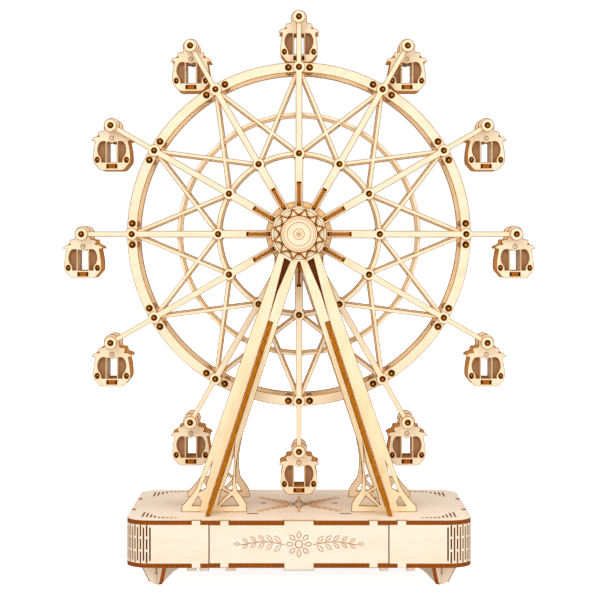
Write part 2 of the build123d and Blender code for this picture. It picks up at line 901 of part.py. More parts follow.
with BuildPart() as pulley_shaft:
    shaft(gear_count - 1, bracket_y - shaft_overhang, bearing_back_y)
save("pulley_shaft", pulley_shaft)

with BuildPart() as crank_shaft:
    shaft(0, bearing_front_y - shaft_overhang, crank_arm_y + base_ply)
save("crank_shaft", crank_shaft)

with BuildPart() as crank_arm:
    with BuildSketch(shaft_plane(0, crank_arm_y + base_ply)):
        with Locations((-crank_arm_length / 2, 0)):
            Rectangle(crank_arm_length, crank_arm_width)
        with Locations((0, 0), (-crank_arm_length, 0)):
            turned(crank_arm_width / 2, shaft_sides)
        turned(shaft_radius, shaft_sides, Mode.SUBTRACT)
    extrude(amount=base_ply)
save("crank_arm", crank_arm)

knob_start_y = crank_arm_y + base_ply

with BuildPart() as crank_knob:
    for distance, radius in ((0, knob_neck), (0.55 * knob_length, knob_radius), (knob_length, 0.7 * knob_radius)):
        with BuildSketch(shaft_plane(0, knob_start_y + distance)):
            with Locations((-crank_arm_length, 0)):
                turned(radius, shaft_sides)
    loft(ruled=True)
save("crank_knob", crank_knob)


def pulley(plane_at, pitch_radius, shaft_size):
    """Grooved pulley whose belt runs at the pitch radius, on a plane function of y."""
    half_width = pulley_width / 2
    flange = half_width - belt_radius - belt_fit
    floor_radius = pitch_radius - belt_radius - belt_fit
    with BuildPart() as built:
        for end_y, radius, thickness in (
            (half_width, pitch_radius + pulley_flange, flange),
            (half_width - flange, floor_radius, pulley_width - 2 * flange),
            (flange - half_width, pitch_radius + pulley_flange, flange),
        ):
            with BuildSketch(plane_at(belt_y + end_y)):
                turned(radius, pulley_sides)
                turned(shaft_size, shaft_sides, Mode.SUBTRACT)
            extrude(amount=thickness)
    return built


def pulley_shaft_plane(y):
    return shaft_plane(gear_count - 1, y)


save("drive_pulley", pulley(pulley_shaft_plane, small_pulley_radius, shaft_radius))
save("hub_pulley", pulley(hub_front, hub_pulley_radius, axle_radius))


# The belt's two straight runs touch both pitch circles, so its route is worked out from them.
low_centre = Vector(pulley_shaft_x, belt_y + centre_y, drive_height)
high_centre = Vector(0, belt_y + centre_y, hub_height)
along = (high_centre - low_centre).normalized()
across = along.cross(Vector(0, 1, 0))
lean = acos((small_pulley_radius - hub_pulley_radius) / (high_centre - low_centre).length)
left_normal = along * cos(lean) + across * sin(lean)
right_normal = along * cos(lean) - across * sin(lean)
low_left = low_centre + left_normal * small_pulley_radius
low_right = low_centre + right_normal * small_pulley_radius
high_left = high_centre + left_normal * hub_pulley_radius
high_right = high_centre + right_normal * hub_pulley_radius

with BuildPart() as drive_belt:
    with BuildLine() as route:
        Line(low_left, high_left)
        ThreePointArc(high_left, high_centre + along * hub_pulley_radius, high_right)
        Line(high_right, low_right)
        ThreePointArc(low_right, low_centre - along * small_pulley_radius, low_left)
    with BuildSketch(Plane(origin=low_left, z_dir=high_left - low_left)):
        turned(belt_radius, belt_sides)
    sweep()
save("drive_belt", drive_belt)
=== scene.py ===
"""Crank driven plywood observation wheel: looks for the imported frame.

Pieces are drawn in millimetres, in x and z as seen from the front, and scaled to metres at the end.
Sheet pieces have four finishes: faces, cut edges, the scorched line along each edge, and engraving.
"""

import json
from math import acos, atan2, cos, degrees, hypot, pi, radians, sin, tan

import bmesh
import bpy
from mathutils import Matrix, Vector

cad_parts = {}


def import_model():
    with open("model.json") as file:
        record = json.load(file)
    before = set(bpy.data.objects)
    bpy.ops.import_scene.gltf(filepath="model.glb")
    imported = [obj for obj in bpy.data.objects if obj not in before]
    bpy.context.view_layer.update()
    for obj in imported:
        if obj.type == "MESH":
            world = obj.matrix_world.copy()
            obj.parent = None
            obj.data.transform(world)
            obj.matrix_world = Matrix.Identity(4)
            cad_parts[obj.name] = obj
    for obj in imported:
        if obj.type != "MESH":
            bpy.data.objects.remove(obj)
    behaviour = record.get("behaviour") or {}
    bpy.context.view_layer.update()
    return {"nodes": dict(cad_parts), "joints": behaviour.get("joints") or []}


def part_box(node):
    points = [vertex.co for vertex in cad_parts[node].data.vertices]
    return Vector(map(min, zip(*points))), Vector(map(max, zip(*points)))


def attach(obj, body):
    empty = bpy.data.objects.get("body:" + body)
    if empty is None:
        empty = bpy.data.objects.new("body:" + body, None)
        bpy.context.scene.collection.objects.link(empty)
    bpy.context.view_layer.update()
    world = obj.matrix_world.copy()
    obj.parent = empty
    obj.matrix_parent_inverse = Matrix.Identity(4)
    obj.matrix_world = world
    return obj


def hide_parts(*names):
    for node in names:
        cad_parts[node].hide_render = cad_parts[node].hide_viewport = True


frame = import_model()

MM = 0.001


def box_mm(node):
    """Lowest and highest corner of a node of the frame, in millimetres."""
    low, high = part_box(node)
    return Vector(low) / MM, Vector(high) / MM


# ---------------------------------------------------------------- places read from the frame

pivots = {j["name"]: Vector(j["pos_m"]) / MM for j in frame["joints"]}
hub = pivots["wheel_spin"]
STEP = 30
COUNT = 12
cabin_pivots = [pivots[f"cabin_{number:02d}_swing"] for number in range(1, COUNT + 1)]
pivot_radius = cabin_pivots[0].z - hub.z

spokes_front = box_mm("front_spokes")[0].y
ply = box_mm("front_spokes")[1].y - spokes_front
rim_outer = box_mm("front_rim")[1].z - hub.z
base_low, base_high = box_mm("base_top_plate")
base_top = base_high.z
base_ply = base_high.z - base_low.z
under_low, under_high = box_mm("base_bottom_plate")
tower_front = box_mm("front_tower")[0].y

# ---------------------------------------------------------------- sizes of the details

RIM_WIDTH = 5.9
RIM_NODE = 99.3
INNER_NODE = 48.0
RIM_EYE = 3.7
INNER_EYE = 3.55
NODE_HOLE = 1.65
SIDE_HOLE = 1.85
SIDE_HOLE_TURN = 3.65
RING_WIDTH = 2.5
MIDDLE_RADIUS = 71.5
MIDDLE_WIDTH = 1.8
SPOKE_START = 9.6
SPOKE_HALF_WIDTHS = (2.4, 1.9, 1.5)
BRACE_HALF = 1.1
FIN_SLOT = (17.0, 31.0)
SCORCH = 0.34
CURVE_STEP = 4.0
MARK_LIFT = 0.015
MARK_PLY = 0.03
ROD_SINK = 0.8
ROD_GAP = 0.02

# ---------------------------------------------------------------- materials


def tone(red, green, blue):
    """Linear colour of a screen colour given from 0 to 255."""
    def linear(value):
        value /= 255
        return value / 12.92 if value <= 0.04045 else ((value + 0.055) / 1.055) ** 2.4

    return (linear(red), linear(green), linear(blue), 1.0)


class Nodes:
    """Short hand for placing nodes in a tree."""

    def __init__(self, tree):
        self.tree = tree

    def add(self, kind, inputs=(), **settings):
        node = self.tree.nodes.new(kind)
        for key, value in settings.items():
            setattr(node, key, value)
        for key, value in dict(inputs).items():
            self.feed(node.inputs[key], value)
        return node

    def feed(self, socket, value):
        if isinstance(value, bpy.types.NodeSocket):
            self.tree.links.new(value, socket)
        else:
            socket.default_value = value

    def maths(self, operation, a, b=0.0, clamp=False):
        node = self.add("ShaderNodeMath", {0: a, 1: b}, operation=operation, use_clamp=clamp)
        return node.outputs[0]

    def noise(self, vector, scale, detail=2.0, roughness=0.5):
        node = self.add(
            "ShaderNodeTexNoise",
            {"Vector": vector, "Scale": scale, "Detail": detail, "Roughness": roughness},
        )
        return node.outputs["Fac"]

    def stretch(self, vector, scale, rotation=(0.0, 0.0, 0.0)):
        node = self.add("ShaderNodeMapping", {"Vector": vector, "Scale": scale, "Rotation": rotation})
        return node.outputs["Vector"]

    def spread(self, value, low, high, to_low=0.0, to_high=1.0):
        node = self.add(
            "ShaderNodeMapRange",
            {"Value": value, "From Min": low, "From Max": high, "To Min": to_low, "To Max": to_high},
        )
        return node.outputs[0]

    def blend(self, factor, a, b, mode="MIX"):
        node = self.add("ShaderNodeMix", data_type="RGBA", blend_type=mode)
        self.feed(node.inputs[0], factor)
        self.feed(node.inputs[6], a)
        self.feed(node.inputs[7], b)
        return node.outputs[2]


def new_group(name, inputs, outputs):
    """Empty node group with named sockets: (name, type, value) in and (name, type) out."""
    tree = bpy.data.node_groups.new(name, "ShaderNodeTree")
    for label, kind, value in inputs:
        tree.interface.new_socket(label, in_out="INPUT", socket_type=kind).default_value = value
    for label, kind in outputs:
        tree.interface.new_socket(label, in_out="OUTPUT", socket_type=kind)
    nodes = Nodes(tree)
    return nodes, nodes.add("NodeGroupInput").outputs, nodes.add("NodeGroupOutput")


def build_veneer_group():
    """Grain of a birch like veneer along the UV map's u, in millimetres."""
    nodes, given, out = new_group(
        "veneer grain",
        [("Pale", "NodeSocketColor", (1, 1, 1, 1)), ("Deep", "NodeSocketColor", (1, 1, 1, 1)),
         ("Strength", "NodeSocketFloat", 1.0)],
        [("Colour", "NodeSocketColor"), ("Roughness", "NodeSocketFloat"), ("Height", "NodeSocketFloat")],
    )
    uv = nodes.add("ShaderNodeUVMap", uv_map="grain").outputs[0]
    bands = nodes.noise(nodes.stretch(uv, (0.012, 0.16, 1)), 1.0, 3.0, 0.55)
    fibres = nodes.noise(nodes.stretch(uv, (0.10, 2.6, 1)), 1.0, 3.0, 0.6)
    clouds = nodes.noise(nodes.stretch(uv, (0.05, 0.09, 1)), 1.0, 2.0, 0.5)
    flecks = nodes.noise(nodes.stretch(uv, (0.35, 3.4, 1)), 1.0, 1.0, 0.4)
    mixed = nodes.maths("ADD", nodes.maths("MULTIPLY", bands, 0.5), nodes.maths("MULTIPLY", clouds, 0.5))
    mixed = nodes.maths("ADD", nodes.maths("MULTIPLY", mixed, 0.65), nodes.maths("MULTIPLY", fibres, 0.35))
    share = nodes.maths("MULTIPLY", nodes.spread(mixed, 0.38, 0.68), given["Strength"], clamp=True)
    colour = nodes.blend(share, given["Pale"], given["Deep"])
    fleck = nodes.maths("MULTIPLY", nodes.spread(flecks, 0.68, 0.76), 0.35)
    dark = nodes.blend(1.0, given["Deep"], tone(222, 205, 180), "MULTIPLY")
    colour = nodes.blend(fleck, colour, dark)
    nodes.feed(out.inputs["Colour"], colour)
    nodes.feed(out.inputs["Roughness"], nodes.spread(fibres, 0.3, 0.7, 0.52, 0.66))
    nodes.feed(out.inputs["Height"], nodes.maths("ADD", nodes.maths("MULTIPLY", fibres, 0.7), flecks))
    return nodes.tree


def build_cut_group():
    """Laser cut edge: plies along u at heights v, fine strokes across them, in millimetres."""
    nodes, given, out = new_group(
        "laser cut edge",
        [("Light", "NodeSocketColor", (1, 1, 1, 1)), ("Dark", "NodeSocketColor", (1, 1, 1, 1)),
         ("Pitch", "NodeSocketFloat", 1.2), ("Lean", "NodeSocketFloat", 0.6),
         ("Stripes", "NodeSocketFloat", 0.5)],
        [("Colour", "NodeSocketColor"), ("Roughness", "NodeSocketFloat"), ("Height", "NodeSocketFloat")],
    )
    uv = nodes.add("ShaderNodeUVMap", uv_map="grain").outputs[0]
    parts = nodes.add("ShaderNodeSeparateXYZ", {0: uv})
    along, across = parts.outputs[0], parts.outputs[1]
    wobble = nodes.noise(nodes.stretch(uv, (0.5, 0.5, 1)), 1.0, 2.0)
    leaning = nodes.maths("MULTIPLY", across, given["Lean"])
    phase = nodes.maths("ADD", nodes.maths("ADD", along, leaning), wobble)
    wave = nodes.maths("SINE", nodes.maths("MULTIPLY", nodes.maths("DIVIDE", phase, given["Pitch"]), 2 * pi))
    strokes = nodes.noise(nodes.stretch(uv, (3.2, 0.35, 1)), 1.0, 2.0, 0.6)
    plies = nodes.noise(nodes.stretch(uv, (0.02, 1.5, 1)), 1.0, 1.0, 0.5)
    stripe = nodes.maths("MULTIPLY", nodes.spread(wave, -0.6, 0.9), given["Stripes"])
    share = nodes.maths("ADD", nodes.maths("MULTIPLY", nodes.spread(strokes, 0.35, 0.65), 0.35), stripe)
    layers = nodes.maths("MULTIPLY", nodes.spread(plies, 0.4, 0.65), 0.35)
    share = nodes.maths("ADD", share, layers, clamp=True)
    nodes.feed(out.inputs["Colour"], nodes.blend(share, given["Light"], given["Dark"]))
    nodes.feed(out.inputs["Roughness"], nodes.spread(strokes, 0.3, 0.7, 0.6, 0.8))
    nodes.feed(out.inputs["Height"], nodes.maths("ADD", strokes, nodes.maths("MULTIPLY", stripe, 0.5)))
    return nodes.tree


def build_end_group():
    """End of a dowel down in its hole: painted highlight in the middle, painted shade round the rim; UV 1 is
    the rim.
    """
    nodes, given, out = new_group(
        "dowel end painted light",
        [("Light", "NodeSocketColor", (1, 1, 1, 1)), ("Dark", "NodeSocketColor", (1, 1, 1, 1)),
         ("Middle", "NodeSocketFloat", 0.3)],
        [("Colour", "NodeSocketColor"), ("Roughness", "NodeSocketFloat"), ("Height", "NodeSocketFloat")],
    )
    uv = nodes.add("ShaderNodeUVMap", uv_map="grain").outputs[0]
    # The painted highlight sits off the middle.
    shift = nodes.add("ShaderNodeVectorMath", {0: uv, 1: (0.1, -0.12, 0)}, operation="ADD").outputs[0]
    reach = nodes.add("ShaderNodeVectorMath", {0: shift}, operation="LENGTH").outputs["Value"]
    grit = nodes.noise(nodes.stretch(uv, (6, 6, 1)), 1.0, 2.0)
    reach = nodes.maths("ADD", reach, nodes.spread(grit, 0.3, 0.7, -0.08, 0.08))
    # Share of painted shade, rising from the painted highlight in the middle out to the rim.
    burnt = nodes.spread(nodes.maths("SUBTRACT", reach, given["Middle"]), 0.0, 0.4)
    nodes.feed(out.inputs["Colour"], nodes.blend(burnt, given["Light"], given["Dark"]))
    nodes.feed(out.inputs["Roughness"], nodes.spread(grit, 0.3, 0.7, 0.6, 0.8))
    nodes.feed(out.inputs["Height"], grit)
    return nodes.tree


veneer_group = build_veneer_group()
cut_group = build_cut_group()
end_group = build_end_group()


def finish_material(name, group, values, bump, distance, specular=0.2):
    """Material whose colour, roughness and relief come from one of the groups."""
    material = bpy.data.materials.new(name)
    material.use_nodes = True
    nodes = Nodes(material.node_tree)
    shader = material.node_tree.nodes["Principled BSDF"]
    look = nodes.add("ShaderNodeGroup", node_tree=group)
    for label, value in values.items():
        look.inputs[label].default_value = value
    relief = nodes.add(
        "ShaderNodeBump", {"Strength": bump, "Distance": distance, "Height": look.outputs["Height"]}
    )
    nodes.feed(shader.inputs["Base Color"], look.outputs["Colour"])
    nodes.feed(shader.inputs["Roughness"], look.outputs["Roughness"])
    nodes.feed(shader.inputs["Normal"], relief.outputs[0])
    shader.inputs["Specular IOR Level"].default_value = specular
    return material


def veneer(name, pale, deep, strength=1.0):
    values = {"Pale": pale, "Deep": deep, "Strength": strength}
    return finish_material(name, veneer_group, values, 0.12, 0.00004)


def cut_edge(name, light, dark, pitch=1.2, lean=0.6, stripes=0.25):
    values = {"Light": light, "Dark": dark, "Pitch": pitch, "Lean": lean, "Stripes": stripes}
    return finish_material(name, cut_group, values, 0.25, 0.00006, 0.05)


base_face = veneer("base veneer", tone(250, 235, 216), tone(242, 218, 190))
wheel_face = veneer("wheel veneer", tone(252, 235, 206), tone(243, 214, 172))
# Rear frame veneer: warmer and darker than the front one, as painted shade on the deeper layer.
rear_shaded_face = veneer("rear wheel veneer painted shade", tone(246, 219, 176), tone(232, 194, 142))
tower_face = veneer("tower veneer", tone(252, 235, 203), tone(243, 213, 162))
cabin_face = veneer("cabin veneer", tone(251, 233, 204), tone(240, 212, 172))
# Brown veneer for the panels behind the cabin windows: painted shade inside the cabin.
shade_face = veneer("inner veneer painted shade", tone(184, 138, 98), tone(164, 118, 80), 0.6)
# Hub disc veneer: more amber than the wheel's, as painted shade on the hub discs.
cover_shaded_face = veneer("hub cover veneer painted shade", tone(252, 220, 166), tone(240, 200, 140))
# Pale veneer for the walls inside the cabins, brighter than the faces as painted light in their deep shadow.
inner_painted_light_face = veneer("cabin inside", tone(255, 236, 206), tone(250, 224, 188), 0.6)
tan_edge = cut_edge("tan cut edge", tone(250, 206, 124), tone(216, 154, 70))
brown_edge = cut_edge("brown cut edge", tone(160, 84, 24), tone(104, 48, 10), 3.0, 0.0, 0.15)
foot_edge = cut_edge("foot cut edge", tone(186, 100, 34), tone(124, 60, 14), 3.0, 0.0, 0.15)
amber_edge = cut_edge("amber hatched edge", tone(222, 138, 16), tone(134, 70, 6), 1.5, 1.0, 0.85)
wall_edge = cut_edge("cabin wall", tone(232, 172, 88), tone(176, 112, 44), 1.4, 0.0, 0.35)
# Dark hatched burn: burnt outlines on the hub discs, and painted shade with hatch on the ground seen through
# the tower's upper cuts.
hatch_burn_and_shade = cut_edge("burnt hatched surface", tone(126, 72, 30), tone(74, 36, 12), 0.8, 0.0, 0.6)
# Near black: burnt seams between the base panels, and painted shade in the fin slot ends, the cabins' tab
# slots and between the star's rays.
burnt = cut_edge("burnt wood and painted shade", tone(46, 24, 10), tone(26, 13, 6), 1.0, 0.0, 0.2)
scorch = cut_edge("scorched line", tone(176, 122, 48), tone(136, 86, 26), 1.7, 0.0, 0.2)
dark_scorch = cut_edge("dark scorched line", tone(146, 84, 32), tone(108, 56, 18), 1.7, 0.0, 0.2)
amber_line = cut_edge("amber line", tone(172, 100, 10), tone(124, 66, 4), 1.7, 0.0, 0.2)
engraving = cut_edge("engraved line", tone(212, 146, 66), tone(172, 104, 36), 1.1, 0.0, 0.2)
# Dowel ends: painted amber highlight in the middle, painted near black shade round the rim.
END_LIGHT_AND_SHADE = {"Light": tone(214, 128, 20), "Dark": tone(38, 18, 8), "Middle": 0.19}
dowel_end_painted_light = finish_material("dowel end painted light", end_group, END_LIGHT_AND_SHADE, 0.2, 0.00005, 0.05)
dowel_side = veneer("dowel side", tone(206, 150, 84), tone(172, 114, 54))


def plain_rubber():
    material = bpy.data.materials.new("natural rubber")
    material.use_nodes = True
    nodes = Nodes(material.node_tree)
    shader = material.node_tree.nodes["Principled BSDF"]
    place = nodes.add("ShaderNodeTexCoord").outputs["Object"]
    speckle = nodes.noise(place, 2500.0, 2.0)
    nodes.feed(shader.inputs["Base Color"], nodes.blend(speckle, tone(250, 240, 222), tone(240, 226, 202)))
    nodes.feed(shader.inputs["Roughness"], nodes.spread(speckle, 0.2, 0.8, 0.5, 0.7))
    return material


rubber = plain_rubber()

# ---------------------------------------------------------------- drawing and cutting sheet

# Places in a sheet piece's list of finishes; the plain face comes first, at 0.
EDGE, LINE, MARK = 1, 2, 3


def arc(centre, radius, start, end, step=CURVE_STEP):
    """Points from one angle to another, in degrees, both ends included."""
    count = max(2, int(abs(end - start) / step + 0.999))
    for index in range(count + 1):
        angle = radians(start + (end - start) * index / count)
        yield centre[0] + radius * cos(angle), centre[1] + radius * sin(angle)


def circle(centre, radius, count=32):
    return [
        (centre[0] + radius * cos(2 * pi * index / count), centre[1] + radius * sin(2 * pi * index / count))
        for index in range(count)
    ]


def rectangle(centre, width, height):
    x, z = centre
    return [(x + side * width / 2, z + up * height / 2) for side, up in ((-1, -1), (1, -1), (1, 1), (-1, 1))]


def mirrored(right_side):
    """Closed outline from its right half, listed from top to bottom."""
    return list(right_side) + [(-x, z) for x, z in reversed(right_side) if x > 1e-6]


def shifted(points, x, z):
    return [(px + x, pz + z) for px, pz in points]


def turned(points, angle, centre=(0.0, 0.0)):
    c, s = cos(radians(angle)), sin(radians(angle))
    cx, cz = centre
    return [(cx + (x - cx) * c - (z - cz) * s, cz + (x - cx) * s + (z - cz) * c) for x, z in points]


def sheet(loops, front_y, ply, line=SCORCH):
    """Plate cut from sheet: outline and holes in x and z, its front at front_y, ply thick."""
    bm = bmesh.new()
    edges = []
    for points in loops:
        corners = [bm.verts.new((x, front_y, z)) for x, z in points]
        edges += [bm.edges.new(pair) for pair in zip(corners, corners[1:] + corners[:1])]
    bmesh.ops.triangle_fill(bm, use_beauty=True, use_dissolve=False, edges=edges, normal=(0, 1, 0))
    for face in bm.faces:
        if face.normal.y < 0:
            face.normal_flip()
    scorch_rim(bm, bm.faces[:], line)
    grown = bmesh.ops.extrude_face_region(bm, geom=bm.faces[:])
    moved = [item for item in grown["geom"] if isinstance(item, bmesh.types.BMVert)]
    bmesh.ops.translate(bm, verts=moved, vec=(0, ply, 0))
    bmesh.ops.recalc_face_normals(bm, faces=bm.faces[:])
    for face in bm.faces:
        if abs(face.normal.y) < 0.5:
            face.material_index = EDGE
    return bm


def scorch_rim(bm, faces, line):
    """Narrow band of scorched faces along the region's edge."""
    if line > 0 and faces:
        band = bmesh.ops.inset_region(
            bm, faces=faces, use_boundary=True, use_even_offset=True, thickness=line
        )
        for face in band["faces"]:
            face.material_index = LINE


def lay_grain(bm, axes=((0, 1, 0),), grain=(1, 0, 0), offset=0.0):
    """UV map in millimetres: grain along u on faces, the cut's run along u on edges."""
    axes, grain = [Vector(axis).normalized() for axis in axes], Vector(grain).normalized()
    layer = bm.loops.layers.uv.get("grain") or bm.loops.layers.uv.new("grain")
    for face in bm.faces:
        axis = max(axes, key=lambda axis: abs(face.normal.dot(axis)))
        if abs(face.normal.dot(axis)) > 0.7:
            u, v = grain, axis.cross(grain)
        else:
            u, v = axis.cross(face.normal).normalized(), axis
        for corner in face.loops:
            corner[layer].uv = (corner.vert.co.dot(u) + offset, corner.vert.co.dot(v) + offset)


def dressed(node, axes=((0, 1, 0),), line=SCORCH, circles=()):
    """Copy of a frame piece, its many sided circles rounded off and its edges scorched."""
    bm = bmesh.new()
    bm.from_mesh(frame["nodes"][node].data)
    bmesh.ops.scale(bm, vec=(1 / MM,) * 3, verts=bm.verts)
    bmesh.ops.remove_doubles(bm, verts=bm.verts, dist=0.004)
    bmesh.ops.dissolve_limit(bm, angle_limit=radians(0.5), verts=bm.verts[:], edges=bm.edges[:])
    for centre, radius, slack in circles:
        round_off(bm, centre, radius, slack)
    bmesh.ops.triangulate(bm, faces=[face for face in bm.faces if len(face.verts) > 4])
    flats = [Vector(axis).normalized() * side for axis in axes for side in (-1, 1)]
    for flat in flats:
        scorch_rim(bm, [face for face in bm.faces if face.normal.dot(flat) > 0.99], line)
    for face in bm.faces:
        if all(face.normal.dot(flat) < 0.99 for flat in flats):
            face.material_index = EDGE
    return bm


def round_off(bm, centre, radius, slack, cuts=4):
    """Turns the many sided outline with its corners on the radius into a true circle."""
    def reach(vert):
        return hypot(vert.co.x - centre[0], vert.co.z - centre[1])

    sides = [
        edge
        for edge in bm.edges
        if all(abs(reach(vert) - radius) < slack for vert in edge.verts)
        and abs(edge.verts[0].co.y - edge.verts[1].co.y) < 0.01
    ]
    split = bmesh.ops.subdivide_edges(bm, edges=sides, cuts=cuts, use_grid_fill=False)
    for item in split["geom_inner"]:
        if isinstance(item, bmesh.types.BMVert):
            out = radius / reach(item)
            item.co.x = centre[0] + (item.co.x - centre[0]) * out
            item.co.z = centre[1] + (item.co.z - centre[1]) * out


def around_wheel(bm, count=COUNT):
    """Repeats what is drawn at twelve o'clock all round the wheel."""
    first = bm.verts[:] + bm.edges[:] + bm.faces[:]
    for index in range(1, count):
        copy = bmesh.ops.duplicate(bm, geom=first)
        verts = [item for item in copy["geom"] if isinstance(item, bmesh.types.BMVert)]
        turn = Matrix.Rotation(radians(360 / count * index), 4, "Y")
        bmesh.ops.rotate(bm, verts=verts, cent=hub, matrix=turn.to_3x3())


def join(bm, other):
    """Adds the other mesh to bm."""
    mesh = bpy.data.meshes.new("joined")
    other.to_mesh(mesh)
    other.free()
    bm.from_mesh(mesh)
    bpy.data.meshes.remove(mesh)


def finish_piece(name, bm, body, materials, stands_for=(), smooth=False):
    """Scales the mesh to metres and hands it to the body it rides on."""
    name = name.replace(" ", "-")
    bmesh.ops.scale(bm, vec=(MM,) * 3, verts=bm.verts)
    mesh = bpy.data.meshes.new(name)
    bm.to_mesh(mesh)
    bm.free()
    for material in materials:
        mesh.materials.append(material)
    if smooth:
        mesh.shade_smooth()
    piece = bpy.data.objects.new(name, mesh)
    bpy.context.scene.collection.objects.link(piece)
    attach(piece, body)
    if stands_for:
        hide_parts(*stands_for)
    return piece


def rod(start, end, radius, sides=24, bevel=0.15, ends=MARK):
    """Round dowel between two points, with slightly broken ends."""
    start, end = Vector(start), Vector(end)
    bm = bmesh.new()
    length = (end - start).length
    bmesh.ops.create_cone(
        bm, cap_ends=True, segments=sides, radius1=radius, radius2=radius, depth=length
    )
    rims = [edge for edge in bm.edges if abs(edge.verts[0].co.z - edge.verts[1].co.z) < 1e-6]
    bmesh.ops.bevel(
        bm, geom=rims, offset=bevel, segments=2, profile=0.5, affect="EDGES", material=-1
    )
    for face in bm.faces:
        face.material_index = ends if abs(face.normal.z) > 0.6 else EDGE
        face.smooth = abs(face.normal.z) < 0.6
    lay_grain(bm, [(0, 0, 1)])
    layer = bm.loops.layers.uv["grain"]
    for face in bm.faces:
        if face.material_index == ends:
            for corner in face.loops:
                corner[layer].uv = corner.vert.co.xy / radius
    turn = (end - start).to_track_quat("Z", "Y").to_matrix().to_4x4()
    bmesh.ops.transform(bm, matrix=Matrix.Translation((start + end) / 2) @ turn, verts=bm.verts)
    return bm


# ---------------------------------------------------------------- wheel

WHEEL_PLY = (wheel_face, tan_edge, scorch, engraving)
# Rear frame finishes: the darker veneer is painted shade.
REAR_SHADED_PLY = (rear_shaded_face, tan_edge, dark_scorch, engraving)


def wheel_ply_of(node):
    # Rear pieces get the painted shade finishes.
    return REAR_SHADED_PLY if node.startswith("rear") else WHEEL_PLY


def at_hub(points):
    return shifted(points, hub.x, hub.z)


def eye_side(radius, height, below, above):
    """Right side of an eye on a strip, from the strip above it to the strip below."""
    return arc((0, height), radius, degrees(acos(above / radius)), -degrees(acos(below / radius)), 12)


def spoke_outline():
    inner, outer, arm = SPOKE_HALF_WIDTHS
    right = list(arc((0, pivot_radius), RIM_EYE, 90, -degrees(acos(arm / RIM_EYE)), 12))
    right += eye_side(RIM_EYE, RIM_NODE, outer, arm)
    right += eye_side(INNER_EYE, INNER_NODE, inner, outer)
    right.append((inner, SPOKE_START))
    return mirrored(right)


def spokes(node):
    low, high = box_mm(node)
    slot = rectangle((0, sum(FIN_SLOT) / 2), 2.3, FIN_SLOT[1] - FIN_SLOT[0])
    holes = [circle((0, INNER_NODE), NODE_HOLE), circle((0, RIM_NODE), NODE_HOLE), slot]
    bm = sheet([at_hub(points) for points in [spoke_outline()] + holes], low.y, high.y - low.y)
    lay_grain(bm, grain=(0, 0, 1))
    around_wheel(bm)
    finish_piece(node.replace("_", "-"), bm, "wheel", wheel_ply_of(node), [node])


def rim(node):
    low, high = box_mm(node)
    loops = [circle((0, 0), rim_outer, 180), circle((0, 0), rim_outer - RIM_WIDTH, 180)]
    for index in range(COUNT):
        for side in (-1, 1):
            angle = radians(90 + index * STEP + side * SIDE_HOLE_TURN)
            loops.append(circle((RIM_NODE * cos(angle), RIM_NODE * sin(angle)), SIDE_HOLE, 24))
    bm = sheet([at_hub(points) for points in loops], low.y, high.y - low.y)
    lay_grain(bm, grain=(0.9, 0, 0.3))
    finish_piece(node.replace("_", "-"), bm, "wheel", wheel_ply_of(node), [node])


def side_of(start, end, hand):
    """One long side of a brace: a point on it and its direction."""
    run = (Vector(end) - Vector(start)).normalized()
    return Vector(start) + hand * BRACE_HALF * Vector((-run.y, run.x)), run


def meeting(one, other):
    """Point where two such lines cross."""
    (a, u), (b, v) = one, other
    along = ((b - a).x * v.y - (b - a).y * v.x) / (u.x * v.y - u.y * v.x)
    return tuple(a + along * u)


def reached(line, radius):
    """Point where a line first reaches a circle round the hub."""
    a, u = line
    middle = a.dot(u)
    return tuple(a - (middle + (middle ** 2 - a.dot(a) + radius ** 2) ** 0.5) * u)


def polar(radius, turn):
    return radius * sin(radians(turn)), radius * cos(radians(turn))


def lattice(node):
    """Inner ring and braces from each rim node to the inner nodes on both sides, cut as one."""
    low, high = box_mm(node)
    outer, ring = rim_outer - RIM_WIDTH - 0.1, INNER_NODE + RING_WIDTH / 2
    brace = (polar(RIM_NODE, 0), polar(INNER_NODE, STEP))
    facing = (polar(RIM_NODE, STEP), polar(INNER_NODE, 0))
    above, below = side_of(*brace, 1), side_of(*brace, -1)
    facing_above, facing_below = side_of(*facing, -1), side_of(*facing, 1)
    right = reached(above, outer)
    notch = meeting(above, facing_above)
    left = reached(facing_above, outer)
    kite_side = meeting(below, facing_above)
    kite_foot = (0.0, facing_above[0].y - facing_above[0].x * facing_above[1].y / facing_above[1].x)
    kite_top = below[0] + below[1] * ((outer - 1.4 - below[0].y) / below[1].y)
    kite = [kite_foot, kite_side, tuple(kite_top), (-kite_top.x, kite_top.y), (-kite_side[0], kite_side[1])]
    near, far = reached(facing_below, ring), reached(below, ring)
    turns = [degrees(atan2(x, z)) for x, z in (near, far)]
    gap = [meeting(below, facing_below), far]
    gap += [polar(ring, turns[1] + (turns[0] - turns[1]) * k / 6) for k in range(1, 6)] + [near]
    outline, loops = [], [circle((0, 0), INNER_NODE - RING_WIDTH / 2, 120)]
    edge = degrees(atan2(*right))
    for index in range(COUNT):
        turn = -index * STEP
        stub = [polar(outer, edge * k / 3) for k in range(-2, 3)]
        outline += turned([*stub, right, notch, left], turn)
        loops += [turned(kite, turn), turned(gap, turn)]
    bm = sheet([at_hub(points) for points in [outline] + loops], low.y, high.y - low.y)
    lay_grain(bm, grain=(0.7, 0, 0.7))
    finish_piece(node.replace("_", "-"), bm, "wheel", wheel_ply_of(node), [node])


def middle_ring(node):
    low, high = box_mm(node)
    loops = [circle((0, 0), MIDDLE_RADIUS + side * MIDDLE_WIDTH / 2, 144) for side in (1, -1)]
    bm = sheet([at_hub(points) for points in loops], low.y, high.y - low.y, 0.18)
    lay_grain(bm)
    finish_piece(node.replace("_", "-"), bm, "wheel", wheel_ply_of(node), [node])


